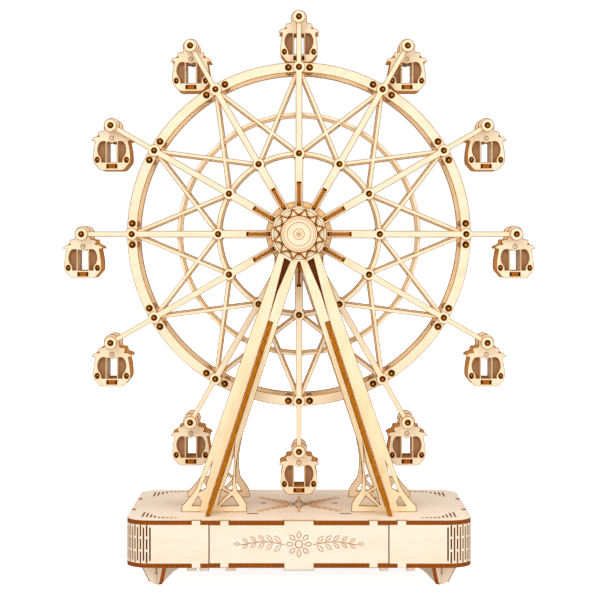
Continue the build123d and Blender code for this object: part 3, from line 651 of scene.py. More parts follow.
for end in ("front", "rear"):
    spokes(f"{end}_spokes")
    rim(f"{end}_rim")
    lattice(f"{end}_lattice")
    middle_ring(f"{end}_middle_ring")


def disc_stack(name, body, materials, rings, stands_for):
    """Rings on the wheel's axle: (outer radius, inner radius, low y, high y)."""
    bm = bmesh.new()
    for outer, inner, low_y, high_y in rings:
        loops = [circle((hub.x, hub.z), outer, 72), circle((hub.x, hub.z), inner, 36)]
        join(bm, sheet(loops, low_y, high_y - low_y))
    lay_grain(bm)
    finish_piece(name, bm, body, materials, stands_for)


# Hub disc finishes: the amber veneer is painted shade, and the dark lines are burnt outlines.
COVER_SHADED_PLY = (cover_shaded_face, tan_edge, hatch_burn_and_shade, engraving)
HUB_COVER = 19.6
HUB_INNER = 15.6
COLLAR = 6.5
AXLE_RADIUS = 3.2
axle_low, axle_high = box_mm("wheel_axle")
cover_front = box_mm("front_hub_discs")[0].y
wheel_back = box_mm("rear_spokes")[1].y
disc_stack(
    "front hub discs", "wheel", COVER_SHADED_PLY,
    [
        (COLLAR, AXLE_RADIUS, cover_front, spokes_front - ply),
        (HUB_INNER, AXLE_RADIUS, spokes_front - ply, spokes_front),
        (HUB_COVER, AXLE_RADIUS, spokes_front + ply, spokes_front + 2 * ply),
    ],
    ["front_hub_discs"],
)
disc_stack(
    "rear hub discs", "wheel", COVER_SHADED_PLY,
    [
        (HUB_COVER, AXLE_RADIUS, wheel_back - 2 * ply, wheel_back - ply),
        (HUB_INNER, AXLE_RADIUS, wheel_back, wheel_back + ply),
    ],
    ["rear_hub_discs"],
)


def hub_fins():
    """Twelve fins between the two sets of spokes, with tabs in their slots."""
    low, high = box_mm("hub_fins")
    start, end = FIN_SLOT
    tab = ply + 0.1
    right = [
        (high.y - low.y, end - 0.8), (high.y - low.y, start + 0.8), (high.y - low.y - tab, start + 0.8),
        (high.y - low.y - tab, start), (tab, start), (tab, start + 0.8), (0, start + 0.8), (0, end - 0.8),
        (tab, end - 0.8), (tab, end), (high.y - low.y - tab, end), (high.y - low.y - tab, end - 0.8),
    ]
    bm = sheet([right], -ply / 2, ply)
    lay_grain(bm)
    turn = Matrix.Rotation(radians(90), 4, "Z")
    bmesh.ops.transform(bm, matrix=Matrix.Translation((hub.x, low.y, hub.z)) @ turn, verts=bm.verts)
    around_wheel(bm)
    finish_piece("hub fins", bm, "wheel", (wheel_face, amber_edge, dark_scorch, engraving), ["hub_fins"])
    # Near black blocks at both ends of each fin slot: painted shade in the slots.
    bm = bmesh.new()
    for front_y in (low.y + 0.9, high.y - 1.3):
        for middle in (start + 0.4, end - 0.4):
            join(bm, sheet([at_hub(rectangle((0, middle), 2.28, 0.8))], front_y, 0.4, 0))
    lay_grain(bm)
    around_wheel(bm)
    finish_piece("fin slot ends painted shade", bm, "wheel", (burnt, burnt))


hub_fins()

# The dowel ends carry the painted highlight and shade.
DOWEL = (dowel_side, dowel_side, dowel_side, dowel_end_painted_light)


def wheel_dowels():
    """Dowels through both lattices, their ends down in their holes."""
    front, back = spokes_front + ROD_SINK, wheel_back - ROD_SINK
    bm = bmesh.new()
    for radius in (INNER_NODE, RIM_NODE):
        z = hub.z + radius
        join(bm, rod((hub.x, front, z), (hub.x, back, z), NODE_HOLE - ROD_GAP, 24))
    for side in (-1, 1):
        angle = radians(90 + side * SIDE_HOLE_TURN)
        x, z = hub.x + RIM_NODE * cos(angle), hub.z + RIM_NODE * sin(angle)
        join(bm, rod((x, front + ply - 0.2, z), (x, back - ply + 0.2, z), SIDE_HOLE - ROD_GAP, 24))
    around_wheel(bm)
    finish_piece("wheel dowels", bm, "wheel", DOWEL, ["wheel_dowels"])


wheel_dowels()

WASHER = 3.8


def washers_and_rods():
    low, high = box_mm("cabin_washers")
    bm = bmesh.new()
    for front_y in (low.y, high.y - ply):
        loops = [circle((0, pivot_radius), WASHER, 36), circle((0, pivot_radius), NODE_HOLE, 20)]
        join(bm, sheet([at_hub(points) for points in loops], front_y, ply))
    lay_grain(bm)
    around_wheel(bm)
    finish_piece("cabin washers", bm, "wheel", WHEEL_PLY, ["cabin_washers"])
    top = hub.z + pivot_radius
    bm = rod((hub.x, low.y + 0.9, top), (hub.x, high.y - 0.9, top), NODE_HOLE - ROD_GAP, 24)
    around_wheel(bm)
    finish_piece("cabin rods", bm, "wheel", DOWEL, ["cabin_rods"])


washers_and_rods()

sleeve_low, sleeve_high = box_mm("hub_sleeve")
bm = rod((hub.x, sleeve_low.y, hub.z), (hub.x, sleeve_high.y, hub.z), sleeve_high.z - hub.z, 36)
finish_piece("hub sleeve", bm, "wheel", DOWEL, ["hub_sleeve"])
bm = rod((hub.x, axle_low.y + 0.5, hub.z), (hub.x, axle_high.y - 0.5, hub.z), AXLE_RADIUS, 36)
finish_piece("wheel axle", bm, "wheel", DOWEL, ["wheel_axle"])

# ---------------------------------------------------------------- cabins

CABIN_PLY = (cabin_face, wall_edge, scorch, engraving)
LOBE = 4.8
cabin_low, cabin_high = box_mm("cabin_01")
cabin_front, cabin_depth = cabin_low.y, cabin_high.y - cabin_low.y
BODY_SIDE = [(10.4, -12.0), (10.9, -15.0), (11.15, -18.0), (11.15, -20.3), (10.8, -21.9), (8.0, -25.3)]
BODY_FOOT = [(7.4, -25.9), (6.6, -26.3), (5.6, -26.45)]


def cabin_outline():
    right = list(arc((0, 0), LOBE, 90, -22, 9))
    right += [(4.75, -2.7), (5.2, -3.05), (7.2, -3.3), (7.8, -3.7), (8.0, -4.4), (7.8, -5.6), (7.5, -6.2)]
    right += [(8.5, -6.3), (10.0, -6.45), (11.0, -7.0), (11.8, -7.8), (11.95, -8.4), (11.5, -8.9)]
    right += [(10.6, -8.75), (9.9, -8.95), (9.95, -9.9), *BODY_SIDE, *BODY_FOOT]
    return mirrored(right)


def window(hand):
    side = [(3.95, -9.25), (5.9, -9.2), (6.9, -9.75), (7.7, -11.0), (8.3, -12.9), (8.4, -14.3), (8.15, -15.9)]
    side += [(7.5, -17.5), (6.7, -18.6), (6.25, -19.7), (6.1, -20.6), (6.1, -21.5), (3.95, -21.5)]
    return [(hand * x, z) for x, z in side]


def door():
    bulge = arc((0, -7.55), 2.5, -50, -130, 15)
    return [(-2.9, -9.6), (-2.9, -21.6), (2.9, -21.6), (2.9, -9.6)] + list(bulge)


PIN = (8.72, -20.15)
PIN_HALVES = (1.3, 1.65)
STEP_DROP = 23.95
NUMBER_DROP = 7.3
NUMBER_RING = (1.5, 1.1)
NUMBER_HEIGHT = 1.8


def pin_hole(hand):
    wide, high = PIN_HALVES
    return [(hand * PIN[0] + wide * x, PIN[1] + high * z) for x, z in circle((0, 0), 1.0, 24)]


def number_mark(number):
    """Engraved ring and plain number below the cabin's rod, on its front."""
    rings = [circle((0, -NUMBER_DROP), radius, 32) for radius in NUMBER_RING]
    bm = sheet(rings, cabin_front - MARK_LIFT, 0.05, 0)
    curve = bpy.data.curves.new("number", "FONT")
    curve.body = str(number)
    curve.size = NUMBER_HEIGHT
    curve.offset = 0.03
    curve.align_x, curve.align_y = "CENTER", "CENTER"
    holder = bpy.data.objects.new("number", curve)
    bpy.context.scene.collection.objects.link(holder)
    bpy.context.view_layer.update()
    mesh = bpy.data.meshes.new_from_object(holder)
    bpy.data.objects.remove(holder)
    digits = bmesh.new()
    digits.from_mesh(mesh)
    bpy.data.meshes.remove(mesh)
    place = Matrix.Translation((0, cabin_front - MARK_LIFT, -NUMBER_DROP))
    stand = place @ Matrix.Rotation(radians(90), 4, "X")
    bmesh.ops.transform(digits, matrix=stand, verts=digits.verts)
    join(bm, digits)
    for face in bm.faces:
        face.material_index = MARK
    return bm


def cabin_body():
    """Both plates of one cabin, hung from a pivot at x 0, z 0."""
    outline, eye = cabin_outline(), circle((0, 0), NODE_HOLE, 20)
    front = [outline, eye, door(), window(-1), window(1), pin_hole(-1), pin_hole(1)]
    front.append(rectangle((0, -STEP_DROP), 6.1, 2.2))
    bm = sheet(front, cabin_front, ply)
    join(bm, sheet([outline, eye, door()], cabin_front + cabin_depth - ply, ply))
    return bm


def cabin_shell():
    """Roof, walls and floor between the two plates, as one thick band."""
    right = [(0, -2.6), (4.6, -2.8), (6.9, -3.5), (8.0, -4.9), (9.6, -6.5), (11.2, -7.5), (11.5, -8.3)]
    right += [(10.3, -8.6), (9.6, -9.2)] + [(x - 0.35, z) for x, z in BODY_SIDE] + [(6.4, -26.1)]
    inner = [(0, -8.0), (4.4, -8.0), (8.4, -9.4), (8.9, -12.0), (9.4, -15.0), (9.7, -18.0), (9.6, -20.6)]
    inner += [(9.0, -22.0), (0, -22.0)]
    depth = cabin_depth - 2 * ply
    return sheet([mirrored(right), mirrored(inner)], cabin_front + ply, depth, 0)


def cabin_inside():
    """Walls beside the door from plate to plate, and a panel close behind each window. The panels' brown
    faces are painted shade inside the cabin, and the walls' sides are painted lighter as painted light.
    """
    bm = bmesh.new()
    depth = cabin_depth - 2 * ply
    for hand in (-1, 1):
        join(bm, sheet([rectangle((hand * 3.45, -15.0), 0.9, 13.9)], cabin_front + ply, depth, 0))
        join(bm, sheet([rectangle((hand * 6.4, -15.0), 5.0, 13.9)], cabin_front + ply + 1.2, 0.8, 0))
    return bm


def cabin_pins():
    """Pins in their two oval holes."""
    bm = bmesh.new()
    for hand in (-1, 1):
        pin = rod((0, cabin_front + 0.8, 0), (0, cabin_front + ply + 1.0, 0), 0.985, 24, 0.1)
        bmesh.ops.scale(pin, vec=(PIN_HALVES[0], 1, PIN_HALVES[1]), verts=pin.verts)
        bmesh.ops.translate(pin, vec=(hand * PIN[0], 0, PIN[1]), verts=pin.verts)
        join(bm, pin)
    return bm


def cabin_tab():
    """The floor's tab in its slot, on near black ground that is painted shade in the slot."""
    bm = sheet([rectangle((0, -STEP_DROP), 6.06, 2.16)], cabin_front + 0.9, 0.6, 0)
    tab = sheet([rectangle((0, -STEP_DROP), 4.0, 2.1)], cabin_front + 0.3, 1.4, 0)
    for face in tab.faces:
        face.material_index = LINE
    join(bm, tab)
    return bm


def cabin(number):
    name = f"cabin_{number:02d}"
    pivot = cabin_pivots[number - 1]
    move = Matrix.Translation((pivot.x, 0, pivot.z))
    parts = (
        (f"cabin {number}", cabin_body(), CABIN_PLY, [name]),
        (f"cabin {number} shell", cabin_shell(), (wall_edge, wall_edge), ()),
        # Inside pieces: the brown panel faces are painted shade, and the pale wall sides are painted light.
        (f"cabin {number} inside", cabin_inside(), (shade_face, inner_painted_light_face, inner_painted_light_face), ()),
        # Tab pieces: the near black ground behind the tab is painted shade.
        (f"cabin {number} tab", cabin_tab(), (burnt, burnt, tab_face), ()),
        (f"cabin {number} number", number_mark(number), (cabin_face, scorch, scorch, number_ink), ()),
    )
    for label, bm, materials, stands_for in parts:
        lay_grain(bm, offset=number * 37.0)
        bmesh.ops.transform(bm, matrix=move, verts=bm.verts)
        finish_piece(label, bm, name, materials, stands_for)
    bm = cabin_pins()
    bmesh.ops.transform(bm, matrix=move, verts=bm.verts)
    finish_piece(f"cabin {number} pins", bm, name, DOWEL)


tab_face = cut_edge("tab", tone(190, 106, 26), tone(134, 66, 10), 0.9, 0.0, 0.3)
number_ink = cut_edge("number", tone(132, 78, 36), tone(104, 58, 24), 1.1, 0.0, 0.2)
for number in range(1, COUNT + 1):
    cabin(number)

# ---------------------------------------------------------------- tower

TOWER_PLY = (tower_face, tan_edge, dark_scorch, engraving)
HEAD = 16.2
LEG_LEAN = 18.0


def leg_slot():
    """Slot of the fin in the right leg, in x and z above the table."""
    lean = radians(LEG_LEAN)
    middle = (SLOT_TOP + SLOT_FOOT) / 2
    centre = ((hub.z - middle) * tan(lean), middle)
    points = rectangle(centre, base_ply + 0.2, (SLOT_TOP - SLOT_FOOT) / cos(lean))
    return turned(points, LEG_LEAN, centre)


def leg_openings():
    """Openings of the right leg, in x and z above the table."""
    yield [(37.8, 76.3), (39.6, 66.0), (43.8, 53.9), (41.4, 52.1), (39.3, 51.2), (38.6, 62.0)]
    yield [(45.3, 52.0), (41.3, 50.1), (47.3, 43.4), (46.4, 47.2)]
    yield [(39.1, 48.3), (35.4, 42.6), (45.7, 42.3)]
    yield [(51.4, 66.3), (58.0, 50.9), (54.8, 52.8)]
    yield [(59.1, 47.9), (57.2, 44.9), (58.0, 42.5), (62.5, 42.6)]
    yield UPPER_CUT
    yield leg_slot()


UPPER_CUT = [(8.5, 187.4), (5.2, 185.5), (13.0, 167.4), (15.6, 159.0)]
BACKING = [(11.4, 189.0), (4.0, 186.4), (11.7, 166.0), (16.6, 157.4)]
SLOT_TOP, SLOT_FOOT = 150.1, 43.0


def tower_outline(head):
    """Head, legs and feet from top to bottom on the right, tabs included."""
    tab = base_ply
    foot = [(59.8, 53.5), (62.0, 50.1), (64.2, 47.3), (66.5, 44.6), (68.8, 42.2), (68.8, base_top)]
    foot += [(58.0, base_top), (58.0, base_top - tab), (44.0, base_top - tab), (44.0, base_top)]
    foot += [(30.5, base_top), (30.9, 43.8), (32.1, 45.9), (33.4, 47.8), (36.0, 51.2), (36.7, 55.0)]
    foot += [(37.05, 59.0), (37.1, 63.4), (36.5, 68.5), (34.4, 79.6)]
    crotch = (0.4, hub.z - HEAD) if head[-1][1] > hub.z - 15 else (1.6, hub.z - 20.0)
    return mirrored(head + foot + [crotch])


def tower(node, head):
    low, high = box_mm(node)
    loops = [tower_outline(head)]
    for opening in leg_openings():
        loops += [opening, [(-x, z) for x, z in opening]]
    front_y = low.y if node == "front_tower" else high.y - base_ply
    bm = sheet(loops, front_y, base_ply)
    if node == "front_tower":
        backing_y = front_y + base_ply
        for hand in (-1, 1):
            join(bm, sheet([[(hand * x, z) for x, z in BACKING]], backing_y, high.y - backing_y, 0))
    lay_grain(bm, grain=(0.2, 0, 1))
    finish_piece(node.replace("_", "-"), bm, "base", TOWER_PLY, [node])


round_head = list(arc((0, hub.z), HEAD, 90, -42))
square_head = list(arc((0, hub.z), HEAD, 90, -20.2)) + [(15.2, hub.z - 20.0)]
tower("front_tower", round_head)
tower("rear_tower", square_head)


def cut_ground():
    """Dark, upright hatched ground seen through the front frame's two upper cuts: laser hatch, darkened as
    painted shade.
    """
    bm = bmesh.new()
    for hand in (-1, 1):
        points = [(hand * x, z) for x, z in BACKING]
        join(bm, sheet([points], tower_front + base_ply - 0.06, 0.05, 0))
    lay_grain(bm)
    finish_piece("cut ground painted shade", bm, "base", (hatch_burn_and_shade, hatch_burn_and_shade))


cut_ground()


cap_face = veneer("cap veneer", tone(248, 230, 200), tone(240, 212, 170), 0.8)
# Brighter veneer round the star: painted light against the shadow of the star on the head.
head_painted_light_face = veneer("head veneer painted light", tone(255, 244, 214), tone(250, 226, 178), 0.8)
star_front = tower_front - box_mm("sun_star")[0].y


def head_ring():
    """Pale ground round the star, painted lighter as painted light, with its engraved circle; near black
    ground between its rays as painted shade; a dark ring round the cap as painted shadow.
    """
    over_ground, over_star = 2 * MARK_LIFT, star_front + MARK_LIFT
    for name, outer, inner, material, lift in (
        ("head ring", 14.9, 14.55, dark_scorch, over_ground), ("star ground painted shade", 12.1, 10.4, burnt, over_ground),
        ("head ground painted light", 15.8, 10.4, head_painted_light_face, MARK_LIFT), ("cap shadow", 11.1, 10.5, dark_scorch, over_star),
    ):
        loops = [circle((hub.x, hub.z), radius, 90) for radius in (outer, inner)]
        bm = sheet(loops, tower_front - lift, 0.01, 0)
        lay_grain(bm)
        finish_piece(name, bm, "base", (material, material))


head_ring()


def star():
    bm = dressed("sun_star", line=1.0)
    lay_grain(bm)
    finish_piece("sun star", bm, "base", (tower_face, brown_edge, amber_line, engraving), ["sun_star"])


star()


# Radius and width of each ring, and the radius of the dot in the middle.
CAP_RINGS = ((9.9, 0.34), (8.9, 0.3), (7.1, 0.42), (3.3, 0.42), (1.6, 0.4))
CAP_DOT = 0.75


def cap(node, outward):
    """Round cap over the axle's end with engraved rings, outward -1 in front and 1 behind."""
    low, high = box_mm(node)
    radius = high.z - hub.z
    bm = sheet([circle((hub.x, hub.z), radius, 72)], low.y, high.y - low.y, 0.3)
    face_y = low.y if outward < 0 else high.y
    for mark, width in CAP_RINGS:
        loops = [circle((hub.x, hub.z), mark, 72), circle((hub.x, hub.z), mark - width, 72)]
        ring = sheet(loops, face_y - MARK_LIFT, MARK_PLY, 0)
        for item in ring.faces:
            item.material_index = MARK
        join(bm, ring)
    dot = sheet([circle((hub.x, hub.z), CAP_DOT, 24)], face_y - MARK_LIFT, MARK_PLY, 0)
    for item in dot.faces:
        item.material_index = MARK
    join(bm, dot)
    lay_grain(bm)
    finish_piece(node.replace("_", "-"), bm, "base", (cap_face, tan_edge, scorch, engraving), [node])


cap("front_cap", -1)
cap("rear_cap", 1)


def leg_fins(node):
    lean = radians(LEG_LEAN)
    axes = [(cos(lean), 0, sin(lean)), (cos(lean), 0, -sin(lean))]
    bm = dressed(node, axes)
    lay_grain(bm, axes, grain=(0, 0, 1))
    finish_piece(node.replace("_", "-"), bm, "base", (tower_face, amber_edge, scorch, engraving), [node])


leg_fins("front_tower_fins")
leg_fins("rear_tower_fins")

# ---------------------------------------------------------------- base

BASE_PLY = (base_face, brown_edge, dark_scorch, engraving)
PANEL_PLY = (base_face, tan_edge, scorch, engraving)
FOOT_PLY = (base_face, foot_edge, dark_scorch, engraving)


def flat_plate(node, line=0.3):
    bm = dressed(node, [(0, 0, 1)], line)
    lay_grain(bm, [(0, 0, 1)], grain=(1, 0, 0))
    finish_piece(node.replace("_", "-"), bm, "base", BASE_PLY, [node])


flat_plate("base_top_plate")
flat_plate("base_bottom_plate")


def upright(node, materials=PANEL_PLY, body="base"):
    bm = dressed(node)
    lay_grain(bm)
    finish_piece(node.replace("_", "-"), bm, body, materials, [node])


for node in ("front_panel", "rear_panel", "front_bearing_plate", "rear_bearing_plate", "pulley_bracket"):
    upright(node)

# Middle and length of each tenon end under the base, and how far forward they stand.
UNDER_TABS = [(-61.2, 5.3), (-54.1, 5.2), (-38.9, 5.5), (48.4, 4.9), (63.6, 4.6)]
UNDER_TAB_REACH = 57.0
SEAM, SEAM_WIDTH = 51.15, 0.6


def tab_faces():
    """Pale faces of the tenon ends under the base, seen from the front and the back."""
    front_y = (base_low.y + base_high.y) / 2 - UNDER_TAB_REACH
    drop = under_high.z - base_ply - under_low.z
    bm = bmesh.new()
    for middle, length in UNDER_TABS:
        for face_y in (front_y - 0.035, front_y + base_ply + 0.005):
            join(bm, sheet([rectangle((middle, under_low.z + drop / 2), length, drop)], face_y, 0.03, 0.2))
    lay_grain(bm)
    finish_piece("tenon faces", bm, "base", PANEL_PLY)


def panel_seams():
    """Dark joints between the straight panels and the bent ones."""
    bm = bmesh.new()
    middle_z, height = (under_high.z + base_low.z) / 2, base_low.z - under_high.z - 0.1
    for x in (-SEAM, SEAM):
        for face_y in (base_low.y - 0.015, base_high.y - 0.025):
            join(bm, sheet([rectangle((x, middle_z), SEAM_WIDTH, height)], face_y, 0.04, 0))
    lay_grain(bm)
    finish_piece("panel seams", bm, "base", (burnt, burnt))


tab_faces()
panel_seams()

FOOT_TURN = radians(24)
for node in ("foot_front_left", "foot_front_right", "foot_rear_left", "foot_rear_right"):
    lean = FOOT_TURN if node in ("foot_front_left", "foot_rear_right") else -FOOT_TURN
    axes = [(cos(lean), sin(lean), 0), (-sin(lean), cos(lean), 0)]
    bm = dressed(node, axes, 0)
    lay_grain(bm, axes, grain=(0, 0, 1))
    finish_piece(node.replace("_", "-"), bm, "base", FOOT_PLY, [node])


# ---------------------------------------------------------------- bent side panels

CORNER = 14.0
PANEL_END = 51.2
KERF_PITCH = 1.88
KERF_WIDTH = 0.72
KERF_COLUMNS = 13
KERF_BRIDGE = 1.5
KERF_END = 1.6
WRAP_TABS = (58.5, 5.0)
SIDE_TABS = (20.0, 5.0)
half_length = (base_high.x - base_low.x) / 2
half_depth = (base_high.y - base_low.y) / 2
base_centre = (base_low + base_high) / 2
wrap_low, wrap_high = under_high.z, base_low.z
bend_length = pi / 2 * CORNER
side_length = 2 * (half_depth - CORNER)
front_length = half_length - CORNER - PANEL_END


def bend(along, depth):
    """Place on the right hand side, followed from the front round to the back."""
    x, y = PANEL_END, -half_depth
    inner = CORNER - depth
    if along <= front_length:
        return x + along, y + depth
    along -= front_length
    if along <= bend_length:
        turn = along / CORNER
        return half_length - CORNER + inner * sin(turn), y + CORNER - inner * cos(turn)
    along -= bend_length
    if along <= side_length:
        return half_length - depth, y + CORNER + along
    along -= side_length
    if along <= bend_length:
        turn = along / CORNER
        return half_length - CORNER + inner * cos(turn), half_depth - CORNER + inner * sin(turn)
    return half_length - CORNER - (along - bend_length), half_depth - depth


def kerf_slots(start, height):
    """Flexing cuts in one bend: every other column is open at both edges."""
    columns = []
    first = start + bend_length / 2 - (KERF_COLUMNS - 1) / 2 * KERF_PITCH
    third = height / 3
    for index in range(KERF_COLUMNS):
        middle = first + index * KERF_PITCH
        if index % 2 == 0:
            spans = [(KERF_END, height - KERF_END)]
        else:
            spans = [
                (0.35, third - KERF_BRIDGE / 2),
                (third + KERF_BRIDGE / 2, 2 * third - KERF_BRIDGE / 2),
                (2 * third + KERF_BRIDGE / 2, height - 0.35),
            ]
        columns.append((middle, spans))
    return columns


def side_panel(node, hand):
    """Flat strip with its flexing cuts, bent round both corners."""
    height = wrap_high - wrap_low
    total = 2 * (front_length + bend_length) + side_length
    bends = (front_length, front_length + bend_length + side_length)
    tabs = [(WRAP_TABS[0] - PANEL_END, WRAP_TABS[1])]
    tabs += [(total / 2 + side * SIDE_TABS[0], SIDE_TABS[1]) for side in (-1, 1)]
    tabs.append((total - tabs[0][0], WRAP_TABS[1]))
    bottom, top = [(0, 0)], [(0, height)]
    for middle, width in tabs:
        left, right = middle - width / 2, middle + width / 2
        bottom += [(left, 0), (left, -base_ply), (right, -base_ply), (right, 0)]
        top += [(left, height), (left, height + base_ply), (right, height + base_ply), (right, height)]
    outline = bottom + [(total, 0), (total, height)] + top[::-1]
    loops, cuts = [outline], []
    for start in bends:
        for middle, spans in kerf_slots(start, height):
            cuts += [middle - KERF_PITCH / 2, middle]
            for low, high in spans:
                loops.append(rectangle((middle, (low + high) / 2), KERF_WIDTH, high - low))
    bm = sheet(loops, 0, base_ply, 0.12)
    for start in bends:
        cuts += [start, start + bend_length]
    for cut in cuts:
        geom = bm.verts[:] + bm.edges[:] + bm.faces[:]
        bmesh.ops.bisect_plane(bm, geom=geom, dist=1e-5, plane_co=(cut, 0, 0), plane_no=(1, 0, 0))
    lay_grain(bm, grain=(1, 0, 0))
    for vert in bm.verts:
        x, y = bend(vert.co.x, vert.co.y)
        vert.co = Vector((base_centre.x + hand * x, base_centre.y + y, wrap_low + vert.co.z))
    if hand < 0:
        bmesh.ops.reverse_faces(bm, faces=bm.faces[:])
    finish_piece(node.replace("_", "-"), bm, "base", (base_face, kerf_edge, scorch, engraving), [node])


kerf_edge = cut_edge("kerf edge", tone(190, 130, 70), tone(140, 84, 36), 1.7, 0.0, 0.2)
side_panel("side_wrap_left", -1)
side_panel("side_wrap_right", 1)

# ---------------------------------------------------------------- ornament engraved in the base top


def leaf(start, length, width, angle):
    """Slender leaf from a point, as an outline."""
    count = 8
    upper = [(length * k / count, width / 2 * sin(pi * k / count)) for k in range(count + 1)]
    lower = [(x, -z) for x, z in upper[-2:0:-1]]
    return shifted(turned(upper + lower, angle), *start)


def engraved(outlines, height):
    """Flat outlines in x and y, laid in the top of a plate."""
    bm = bmesh.new()
    for points in outlines:
        corners = [bm.verts.new((x, y, height)) for x, y in points]
        bm.faces.new(corners)
    bmesh.ops.recalc_face_normals(bm, faces=bm.faces[:])
    for face in bm.faces:
        if face.normal.z < 0:
            face.normal_flip()
    layer = bm.loops.layers.uv.new("grain")
    for face in bm.faces:
        for corner in face.loops:
            corner[layer].uv = (corner.vert.co.x, corner.vert.co.y)
    return bm


def strip(a, b, width):
    direction = Vector((b[0] - a[0], b[1] - a[1])).normalized() * (width / 2)
    side = Vector((-direction.y, direction.x))
    return [
        (a[0] + side.x, a[1] + side.y), (b[0] + side.x, b[1] + side.y),
        (b[0] - side.x, b[1] - side.y), (a[0] - side.x, a[1] - side.y),
    ]


def ring_strip(points, width):
    return [strip(a, b, width) for a, b in zip(points, points[1:] + points[:1])]


def spray(side, up):
    """Curved stem with leaves on both sides, from the middle towards one corner."""
    steps = (0, 0.2, 0.4, 0.6, 0.8, 1.0)
    stem = [(side * (3.5 + 17.5 * t), up * (3.0 + 15.0 * t + 5.0 * t * t)) for t in steps]
    for a, b in zip(stem, stem[1:]):
        yield strip(a, b, 1.3)
    for index, (x, y) in enumerate(stem[1:]):
        size = 9.0 - 0.9 * index
        yield leaf((x, y), size, 0.34 * size, degrees(atan2(up * 2.6, side * 0.8)))
        yield leaf((x, y), size * 0.9, 0.3 * size, degrees(atan2(-up * 0.3, side * 1.0)))
    yield leaf(stem[-1], 7.0, 2.2, degrees(atan2(up * 1.0, side * 1.0)))


# Bars burnt in each corner: their place along the front, and where they start and end towards it.
CORNER_BARS = [(90.2, 30.0, 47.0), (87.8, 33.5, 48.0), (85.4, 38.5, 49.0), (83.0, 43.0, 50.0)]
CORNER_BARS += [(80.4, 47.5, 51.0), (78.0, 48.0, 51.5), (75.6, 48.5, 51.5), (73.2, 49.0, 51.8)]
CORNER_BARS += [(70.8, 49.4, 51.8)]


def base_ornament():
    """Long four pointed star with four sprays of leaves, dashes beside it and bars in the corners."""
    outlines, dashes = [], []
    star = [(0, 31), (1.3, 8), (4.6, 0), (1.3, -8), (0, -31), (-1.3, -8), (-4.6, 0), (-1.3, 8)]
    outlines += ring_strip(star, 0.8)
    outlines += ring_strip([(2.1 * x, 0.5 * y) for x, y in star], 0.8)
    for side in (-1, 1):
        for up in (-1, 1):
            outlines += spray(side, up)
        for x, width in ((2.4, 2.6), (5.2, 3.4), (9.0, 2.6)):
            dashes.append(leaf((side * x, 0), 2.2, width, 0 if side > 0 else 180))
    for side_x in (-1, 1):
        for side_y in (-1, 1):
            for x, near, far in CORNER_BARS:
                width = 1.1 if far - near > 4 else 1.5
                dashes.append(rectangle((side_x * x, side_y * (near + far) / 2), width, far - near))
    for name, shapes, material, lift in (
        ("base ornament", outlines, leaf_burn, 0.02), ("base dashes", dashes, dark_scorch, 0.03),
    ):
        placed = [shifted(points, base_centre.x, base_centre.y) for points in shapes]
        finish_piece(name, engraved(placed, base_top + lift), "base", (material,))


leaf_burn = cut_edge("light burn", tone(240, 186, 108), tone(222, 160, 82), 1.1, 0.0, 0.2)
base_ornament()

# ---------------------------------------------------------------- ornament engraved in the front panel


def hollow(points, width):
    """Band along the inside of an outline: the outline and a smaller one round the same middle."""
    x = sum(point[0] for point in points) / len(points)
    z = sum(point[1] for point in points) / len(points)
    inner = []
    for px, pz in points:
        reach = hypot(px - x, pz - z)
        inner.append((x + (px - x) * (1 - width / reach), z + (pz - z) * (1 - width / reach)))
    return [points, inner]


def panel_ornament():
    """Rosette between two stems of leaves, all drawn as burnt outlines."""
    grow = 1.55
    face_y, middle_z = base_low.y, (under_high.z + base_low.z) / 2
    bands = [hollow(circle((0, 0), 1.5, 32), 0.32)]
    for index in range(8):
        bands.append(hollow(turned(leaf((1.9, 0), 3.0, 1.7, 0), 45 * index), 0.28))
    for hand in (-1, 1):
        for index in range(5):
            x = 6.6 + 3.0 * index
            lift = 0.9 * sin(pi * (x - 6.0) / 14.0)
            size = 3.6 - 0.25 * index
            for up in (-1, 1):
                points = leaf((x, lift + up * 0.35), size, 0.42 * size, up * (48 - 3 * index))
                bands.append(hollow([(hand * px, pz) for px, pz in points], 0.26))
        tip = leaf((21.4, 0.1), 2.6, 1.2, 0)
        bands.append(hollow([(hand * px, pz) for px, pz in tip], 0.26))
    bm = bmesh.new()
    for band in bands:
        loops = [[(x * grow, z * grow) for x, z in points] for points in band]
        placed = [shifted(points, base_centre.x, middle_z) for points in loops]
        join(bm, sheet(placed, face_y - 0.02, 0.03, 0))
    for hand in (-1, 1):
        run = [(hand * (5.4 + 1.6 * k), 0.9 * sin(pi * (1.6 * k - 0.6) / 14.0)) for k in range(11)]
        for a, b in zip(run, run[1:]):
            points = [(x * grow, z * grow) for x, z in strip(a, b, 0.28)]
            join(bm, sheet([shifted(points, base_centre.x, middle_z)], face_y - 0.016, 0.03, 0))
    lay_grain(bm)
    finish_piece("panel ornament", bm, "base", (amber_line, amber_line))


panel_ornament()

# ---------------------------------------------------------------- drive

DRIVE_PLY = (tower_face, brown_edge, scorch, engraving)

for node, body in (
    ("crank_gear", "crank"), ("idler_gear_1", "idler_1"), ("idler_gear_2", "idler_2"),
    ("pulley_gear", "pulley_drive"), ("crank_arm", "crank"),
):
    upright(node, DRIVE_PLY, body)


def dowel_node(node, body, sides=32):
    """Round dowel along y in place of the frame's many sided one."""
    low, high = box_mm(node)
    middle = (low + high) / 2
    bm = rod((middle.x, low.y, middle.z), (middle.x, high.y, middle.z), (high.z - low.z) / 2, sides)
    finish_piece(node.replace("_", "-"), bm, body, DOWEL, [node])


dowel_node("pulley_shaft", "pulley_drive")
dowel_node("crank_shaft", "crank")


